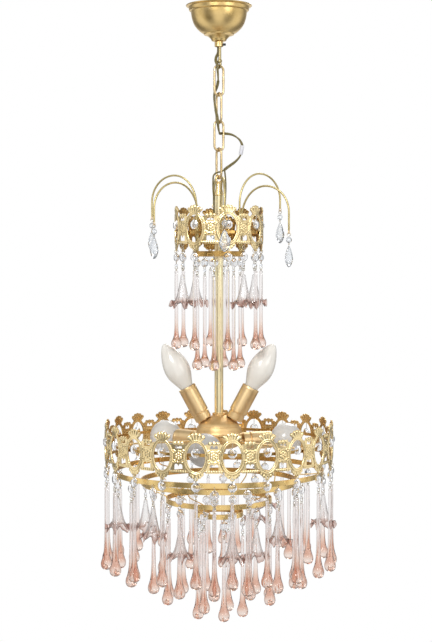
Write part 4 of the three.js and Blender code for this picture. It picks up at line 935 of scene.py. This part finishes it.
def turned_to(direction):
    """Moves points made in the x-z plane into the plane through direction."""
    other = np.cross(UP, direction)
    return lambda p: p[:, :1] * direction + p[:, 1:2] * other + p[:, 2:3] * UP


piece = Build()
for profile in (
    ((0, -80.4), (2, -80.4), (2, -3.6), (1.7, -3.3), (0, -3.3)),
    ((0, -80), (2.5, -80), (3.1, -79), (3.1, -76.6), (2.5, -75.6), (0, -75.6)),
):
    piece.add(turned(profile, 28), move=lambda points: points + rod_at)
eye = ring_wire(EYE_RADIUS, -87 + EYE_RADIUS, WIRE, 14, 36, "xz")
piece.add(eye, move=turned_to(across))
piece.finish("rod_with_eye", "ceiling_fixing", (DULL,), ("hanger_rod",))

screw_level = -51.3 - 7 * 0.6
points, faces = turned((
    (0, 3.8), (1.2, 3.8), (1.6, 4.2), (1.6, 8.9), (1.15, 9.4), (0.9, 9.4), (0.85, 8.4), (0, 8.4),
), 28)
points = points[:, (2, 1, 0)] * (1, 1, -1) + (0, rod_at[1], screw_level)
single("clamp_screw", "grub_screw", (points, faces), BLACK, "grub_screw")


def link_line(top):
    """The outline of one link; the weld is at its 38th point."""
    upper, lower = top - LINK_BEND, top - LINK_SPAN + LINK_BEND
    rows = []
    for side, start, near, far in ((-1, 0, upper, lower), (1, math.pi, lower, upper)):
        for a in (start + math.pi * i / 14 for i in range(15)):
            rows.append((LINK_BEND * math.cos(a), 0, near + LINK_BEND * math.sin(a)))
        rows += [(side * LINK_BEND, 0, near + (far - near) * i / 6) for i in range(1, 6)]
    return rows


for n, top in enumerate(LINK_TOPS):
    line = link_line(top)
    radii = np.full(len(line), WIRE / 2)
    radii[37] += 0.22
    turn = turned_to(along if n % 2 == 0 else across)
    names = f"link_{n + 1}", f"chain_link_{n + 1}"
    single(*names, tube(line, radii, 14, closed=True), LINK, names[1], turn)

stem_eye = -233.5 - EYE_RADIUS
cone_top = stem_eye - EYE_RADIUS - WIRE / 2 + 0.8
stem_top = cone_top - 17
piece = Build()
piece.add(ring_wire(EYE_RADIUS, stem_eye, WIRE, 14, 36, "xz"), move=turned_to(along))
piece.add(turned((
    (0, stem_top - 6), (4.65, stem_top - 6), (4.65, stem_top), (5.7, stem_top),
    (6, stem_top + 0.3), (6, stem_top + 2.6), (5.8, stem_top + 3.2), (3.7, cone_top - 1.6),
    (3.2, cone_top - 0.3), (2.6, cone_top), (0, cone_top),
)))
piece.finish("stem_eye", BODY, (GOLD,), ("stem_hook",))
stem = turned((
    (5, STEM_FOOT), (STEM_RADIUS, STEM_FOOT), (STEM_RADIUS, stem_top - 0.8),
    (STEM_RADIUS - 0.3, stem_top - 0.4), (5, stem_top - 0.4), (5, STEM_FOOT),
))
single("stem", BODY, stem, STEM, "stem_tube")

# Hub and lamps

bend = curve((
    (9, -561.2), (12, -563.1), (17.6, -566.4), (22.5, -569.3), (25.8, -571.9), (27.9, -574.6),
), 4)
dome_rows = [(6.4, -558), (8.6, -558), (9, -558.4)] + bend
dome_rows += [
    (28.3, -575.4), (28.1, -576), (29.4, -576.6), (30.3, -578.4), (30.9, -581.5), (31.2, -585),
    (31.6, -585.6), (32.5, -586), (32.8, -586.5), (32.8, -587.6), (32.4, -588), (30.7, -588),
    (30.4, -580.5), (28, -575), (24.6, -572.6), (17, -567.8), (6.4, -562.4), (6.4, -558),
]
single("hub_upper", BODY, turned(dome_rows, 72), SATIN, "hub_dome", sharp=30)
bend = curve(((29, -599.3), (28.2, -602), (24.9, -604.6), (19, -606.6), (14.5, -607.3)), 4)
cup_rows = [(28.6, -588.3), (29, -588.7), (29, -599.3)] + bend[1:]
cup_rows += [
    (NUT_BORE, -607.3), (NUT_BORE, -606), (14, -606), (23.2, -603), (27.7, -598.7),
    (27.7, -588.3), (28.6, -588.3),
]
single("hub_lower", BODY, turned(cup_rows, 72), SATIN, "hub_cup", sharp=30)
nut_rows = [(0, -620.6)]
for bend in (
    ((0.8, -620.5), (2.3, -619.6), (3.1, -617.6), (3.3, -616.4)),
    ((3.6, -616), (6.4, -614.6), (8.8, -612), (9.6, -609.6)),
):
    nut_rows += curve(bend, 3)
nut_rows += [
    (9.6, -608), (9.2, -607.6), (5, -607.6), (5, -567.5), (4.65, -567.3), (4.65, -555), (0, -555),
]
single("hub_finial", BODY, turned(nut_rows, 40), GOLD, "hub_nut", sharp=30)


def lamp_place(tilt, start, level, angle):
    """Moves points made about the Z axis onto an axis tilted outwards."""
    c, s = math.cos(tilt), math.sin(tilt)
    turn = around(start, level, angle)
    return lambda p: turn(
        np.stack((p[:, 0], p[:, 1] * c - p[:, 2] * s, p[:, 1] * s + p[:, 2] * c), 1))


def holder(length, nipple):
    rows = [
        (3.8, -nipple), (5, -nipple), (5, 0), (10.8, 0), (11.3, 0.5), (11.5, 3), (11.5, 9.4),
        (11.2, 9.8), (10.9, 10.2), (10.9, 11), (11.95, 11.3), (12.25, 11.7),
    ]
    rows += [(radius, length - down) for radius, down in (
        (12.25, 4.6), (12.05, 4.3), (12.05, 3.8), (12.25, 3.5), (12.25, 0.6), (12, 0.1), (11.4, 0),
        (11, 0.4), (11, 4.7), (7.35, 5), (7.35, 26.3), (3.8, 26.3),
    )]
    return turned(rows + [(3.8, -nipple)], 56)


def cap_rows(length):
    """The screw cap of a bulb."""
    bottom = length - 26
    rows = [(0, bottom), (3.15, bottom), (4.2, bottom + 1.4), (6.4, bottom + 3.2)]
    for n in range(8):
        rows += [(7.0, bottom + 4.4 + 2.2 * n), (6.55, bottom + 5.5 + 2.2 * n)]
    return rows + [(6.8, bottom + 22.6), (6.9, bottom + 25.6), (0, bottom + 25.6)]


CANDLE_ROWS = smooth((
    (9.2, 0), (9.9, 2.5), (12, 8), (14.6, 14), (16.7, 20.5), (17.5, 27.5), (17.2, 34), (15.8, 41),
    (13.5, 48), (10.4, 55), (7.3, 60.6), (5.1, 63.9), (2.6, 66.3), (0, CANDLE_HEIGHT),
), 4)
GLOBE_RADIUS, GLOBE_MIDDLE = 22.5, 23.5
GLOBE_ROWS = [(8.2, 0.4), (9.6, 2.6)]
for turn in np.linspace(-60, 90, 26) * DEG:
    row = (GLOBE_RADIUS * math.cos(turn), GLOBE_MIDDLE + GLOBE_RADIUS * math.sin(turn))
    GLOBE_ROWS.append(row)


def lamps(kinds, rows, length, nipple, places, looks):
    """Holders with their bulbs: glass over a screw cap."""
    for i, (place, look) in enumerate(zip(places, looks), 1):
        cup, cup_node, bulb, bulb_node = (f"{kind}_{i}" for kind in kinds)
        move = lamp_place(*place)
        single(cup, BODY, holder(length, nipple), HOLDER, cup_node, move, sharp=28)
        build = Build()
        build.add(turned(cap_rows(length), 40), 1, move)
        shell = [(0, rows[0][1] + length)] + [(radius, height + length) for radius, height in rows]
        build.add(turned(shell, 56), 0, move)
        build.finish(bulb, bulb_node, (look, STEEL), (bulb_node,), sharp=40, slot="frosted_glass")


lamps(
    ("candle_cup", "candle_holder", "candle_lamp", "candle_bulb"), CANDLE_ROWS,
    CANDLE_HOLDER_LENGTH, 14, [(*CANDLE_PLACE, angle) for angle in (90 * DEG, 270 * DEG)],
    (FROSTED, FROSTED),
)
lamps(
    ("side_cup", "side_holder", "globe_lamp", "round_bulb"), GLOBE_ROWS, SIDE_HOLDER_LENGTH, 7,
    [(90 * DEG, SIDE_START, SIDE_LEVEL, -11 * DEG + i * 120 * DEG) for i in range(3)],
    # The first globe takes the painted shade copy of the milky glass.
    (MILKY_IN_PAINTED_SHADE, MILKY, MILKY),
)

# Hanging strings


def strings(name, nodes, radius, level, angles, length, kind, lead=0.0):
    build = Build()
    for n, angle in enumerate(angles):
        hang(build, around(radius, level, angle), kind, length, turn=1.7 * n + radius, lead=lead)
    glass_look = BELL if kind == "bell" else ROSE
    build.finish(name, BODY, (CRYSTAL, PIN, glass_look), nodes, slot="rose_glass")


crown_length = CROWN_TIP_LEVEL - LAMP_TOP + 6.2
for i in range(8):
    angle = CROWN_PHASE + i * 45 * DEG
    names = f"crown_string_{i + 1}", f"crown_pendant_{i + 1}"
    pendant_piece(*names, CROWN_RADIUS, CROWN_TIP_LEVEL, angle, crown_length, "ball")
for i in range(5):
    names = f"lowest_string_{i + 1}", f"lower_pendant_{i + 1}"
    pendant_piece(*names, *LOWEST_HOLE, (12 + 72 * i) * DEG, STRING_LENGTH, "drop")

nodes = [f"main_gallery_{i + 1}" for i in range(3)]
angles = [MAIN_PHASE + i * TURN / MAIN_CELLS for i in range(MAIN_CELLS)]
tip_level = MAIN_LEVEL + TIP_HOLE_LEVEL
strings("main_drops", nodes, MAIN_RADIUS, tip_level, angles, STRING_LENGTH, "drop")
hoops = zip(DROP_RINGS, HOOP_STRINGS, HOOP_STRING_PHASES)
for n, ((radius, level), places, phase) in enumerate(hoops, 1):
    for kind, length in (("drop", STRING_LENGTH), ("bell", BELL_LENGTH)):
        taken = [i for i, letter in enumerate(places) if letter == kind[0]]
        angles = [phase + TURN * i / len(places) for i in taken]
        nodes = (f"drop_ring_{n}",)
        strings(f"ring_{n}_{kind}s", nodes, radius - 0.7, level - 1.3, angles, length, kind)
angles = [CROWN_PHASE + (place + 0.5) * 45 * DEG for place in (0, 2, 3, 4, 6, 7)]
length = INNER_HOLE_LEVEL - LAMP_TOP + 34.6
nodes = ("crown_lower_hoop",)
strings("crown_inner_drops", nodes, 35.3, INNER_HOLE_LEVEL, angles, length, "ball")
angles = [CROWN_PHASE + (22.5 + 90 * i) * DEG for i in range(4)]
nodes = ("crown_gallery_1", "crown_gallery_2")
strings(
    "crown_bells", nodes, CROWN_RADIUS, CROWN_LEVEL - 18.6, angles, CROWN_BELL_LENGTH, "bell",
    CROWN_BELL_LEAD,
)

ALMOND_ROWS = (
    (0, 0), (0.28, 0.03), (0.62, 0.13), (0.9, 0.28), (1.0, 0.42), (0.86, 0.58), (0.58, 0.78),
    (0.32, 0.93), (0, 1.0),
)
ALMOND_RADIUS, ALMOND_LENGTH, ALMOND_BOTTOM = 7.5, 29, -46.5
points, faces = turned([
    (ALMOND_RADIUS * r, ALMOND_BOTTOM + ALMOND_LENGTH * h) for r, h in ALMOND_ROWS
], 10)
almond = (points * (1, 0.72, 1), faces)
for i, (top, tip) in enumerate(ARCH_HEIGHTS):
    seat = tip - 2 * ARCH_RING_RADIUS + 1.4
    move = around(ARCH_TIP_RADIUS, seat, ARCH_PHASE + i * 60 * DEG)
    build = Build()
    build.add(ring_wire(HOOK_RADIUS, -HOOK_RADIUS, HOOK_WIRE), 1, move)
    build.add(ball(4.1, -9.8, 10, 5), 0, move)
    build.add(ring_wire(1.6, -15.2, PIN_WIRE, 5, 10, "xz"), 1, move)
    build.add(almond, 0, move)
    node_name = f"arch_drop_{i + 1}"
    build.finish(f"almond_{i + 1}", node_name, (ALMOND, PIN), (node_name,), sharp=12)


def medallion_beads(name, radius, level, count, phase):
    """A bead on a short wire in the opening of each medallion."""
    build = Build()
    wire = tube(smooth(((0, 0, 0.8), (0, 0, -3), (0, 0, -7)), 3), PIN_WIRE / 2, 6)
    for i in range(count):
        move = around(radius + 0.9, level + 17.6, phase + TURN * i / count)
        build.add(wire, 1, move)
        build.add(octagon_bead(-12.6), 0, move)
    build.finish(name, BODY, (CRYSTAL, PIN))


medallion_beads("main_beads", MAIN_RADIUS, MAIN_LEVEL, MAIN_CELLS, MAIN_PHASE)
medallion_beads("crown_beads", CROWN_RADIUS, CROWN_LEVEL, CROWN_CELLS, CROWN_PHASE)

# Materials of the CAD nodes that stay

looks = {"ceiling_strap": STEEL, "hanger_nut": STEEL, "terminal_block": CERAMIC}
for name, material in looks.items():
    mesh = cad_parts[name].data
    mesh.materials.clear()
    mesh.materials.append(material)

# Floor and light

FLOOR_REACH, FLOOR_LEVEL = 14, -1.3
corners = ((-1, -1), (1, -1), (1, 1), (-1, 1))
floor_mesh = bpy.data.meshes.new("floor")
floor_mesh.from_pydata(
    [(x * FLOOR_REACH, y * FLOOR_REACH, FLOOR_LEVEL) for x, y in corners], [], [(0, 1, 2, 3)])
floor = placed("floor", floor_mesh)


def feed(tree, value, socket):
    """Links an output to a socket, or writes a number there."""
    if isinstance(value, (int, float)):
        socket.default_value = value
    else:
        tree.links.new(value, socket)


def computed(tree, operation, *values):
    made = node(tree, "Math")
    made.operation = operation
    for value, socket in zip(values, made.inputs):
        feed(tree, value, socket)
    return made.outputs["Value"]


def chosen(tree, by_ray, others, rays):
    """by_ray for rays of that kind, and others for the rest; both are outputs or numbers."""
    pick = node(tree, "Mix")
    pick.data_type = "FLOAT"
    tree.links.new(rays, pick.inputs["Factor"])
    feed(tree, others, pick.inputs["A"])
    feed(tree, by_ray, pick.inputs["B"])
    return pick.outputs["Result"]


def axes(tree, vector):
    split = node(tree, "SeparateXYZ")
    tree.links.new(vector, split.inputs["Vector"])
    return split.outputs["X"], split.outputs["Y"], split.outputs["Z"]


def flags(tree, x, y, low, high, darkest, lightest):
    """Light that is bright in four directions and falls off between them."""
    turn = computed(tree, "ARCTAN2", y, x)
    wave = computed(tree, "COSINE", computed(tree, "MULTIPLY", turn, 4))
    return mapped(tree, wave, darkest, lightest, low, high)


floor_look, tree, shader = principled("pale_floor", Roughness=0.9, Base_Color=(0.8, 0.8, 0.8, 1))
glow = node(tree, "Emission", Color=(*WHITE, 1))
mix = node(tree, "MixShader")
rays = node(tree, "LightPath").outputs
place = node(tree, "TexCoord").outputs["Object"]
x, y, _ = axes(tree, place)
shaded = flags(tree, x, y, -0.45, 0.2, 0.22, 1.0)
away = node(tree, "VectorMath")
away.operation = "LENGTH"
tree.links.new(place, away.inputs[0])
# The four directions fade into an even floor away from the middle
shaded = chosen(tree, shaded, 0.7, mapped(tree, away.outputs["Value"], 0, 1, 1.36, 1.8))
shaded = chosen(tree, 0.92, shaded, rays["Is Transmission Ray"])
tree.links.new(chosen(tree, 1.0, shaded, rays["Is Camera Ray"]), glow.inputs["Strength"])
straight = chosen(tree, 1.0, rays["Is Camera Ray"], rays["Is Transmission Ray"])
tree.links.new(chosen(tree, 1.0, straight, rays["Is Glossy Ray"]), mix.inputs["Fac"])
tree.links.new(shader.outputs["BSDF"], mix.inputs[1])
tree.links.new(glow.outputs["Emission"], mix.inputs[2])
tree.links.new(mix.outputs["Shader"], tree.nodes["Material Output"].inputs["Surface"])
floor_mesh.materials.append(floor_look)

world = bpy.data.worlds.new("studio")
bpy.context.scene.world = world
world.use_nodes = True
tree = world.node_tree
back = preset(tree.nodes["Background"], {"Color": (*WHITE, 1)})
rays = node(tree, "LightPath").outputs
x, y, height = axes(tree, node(tree, "TexCoord").outputs["Generated"])
side = flags(tree, x, y, -0.6, 0.5, 0.3, 1.0)
metal = computed(tree, "MULTIPLY", side, mapped(tree, height, 0.35, 1.05, -0.6, 0.2))
clear = mapped(tree, height, 0.95, 0.35, 0.15, 0.6)
light = chosen(tree, clear, metal, rays["Is Transmission Ray"])
tree.links.new(chosen(tree, 1.0, light, rays["Is Camera Ray"]), back.inputs["Strength"])

LAMPS_AIM = (0, 0, -0.45)


def lamp(name, place, size, power):
    light = bpy.data.lights.new(name, "AREA")
    light.shape = "DISK"
    light.size = size
    light.energy = power
    made = placed(name, light)
    made.location = place
    aim = np.array(LAMPS_AIM) - np.array(place)
    made.rotation_euler = Vector(aim).to_track_quat("-Z", "Y").to_euler()
    made.visible_camera = False


lamp("key", (-0.8, -2.1, 0.8), 0.9, 29)
lamp("fill", (1.4, -1.7, 0.1), 1.2, 10)
lamp("rim", (0.6, 1.8, 0.9), 0.9, 14)

bpy.context.scene.view_settings.view_transform = "Standard"
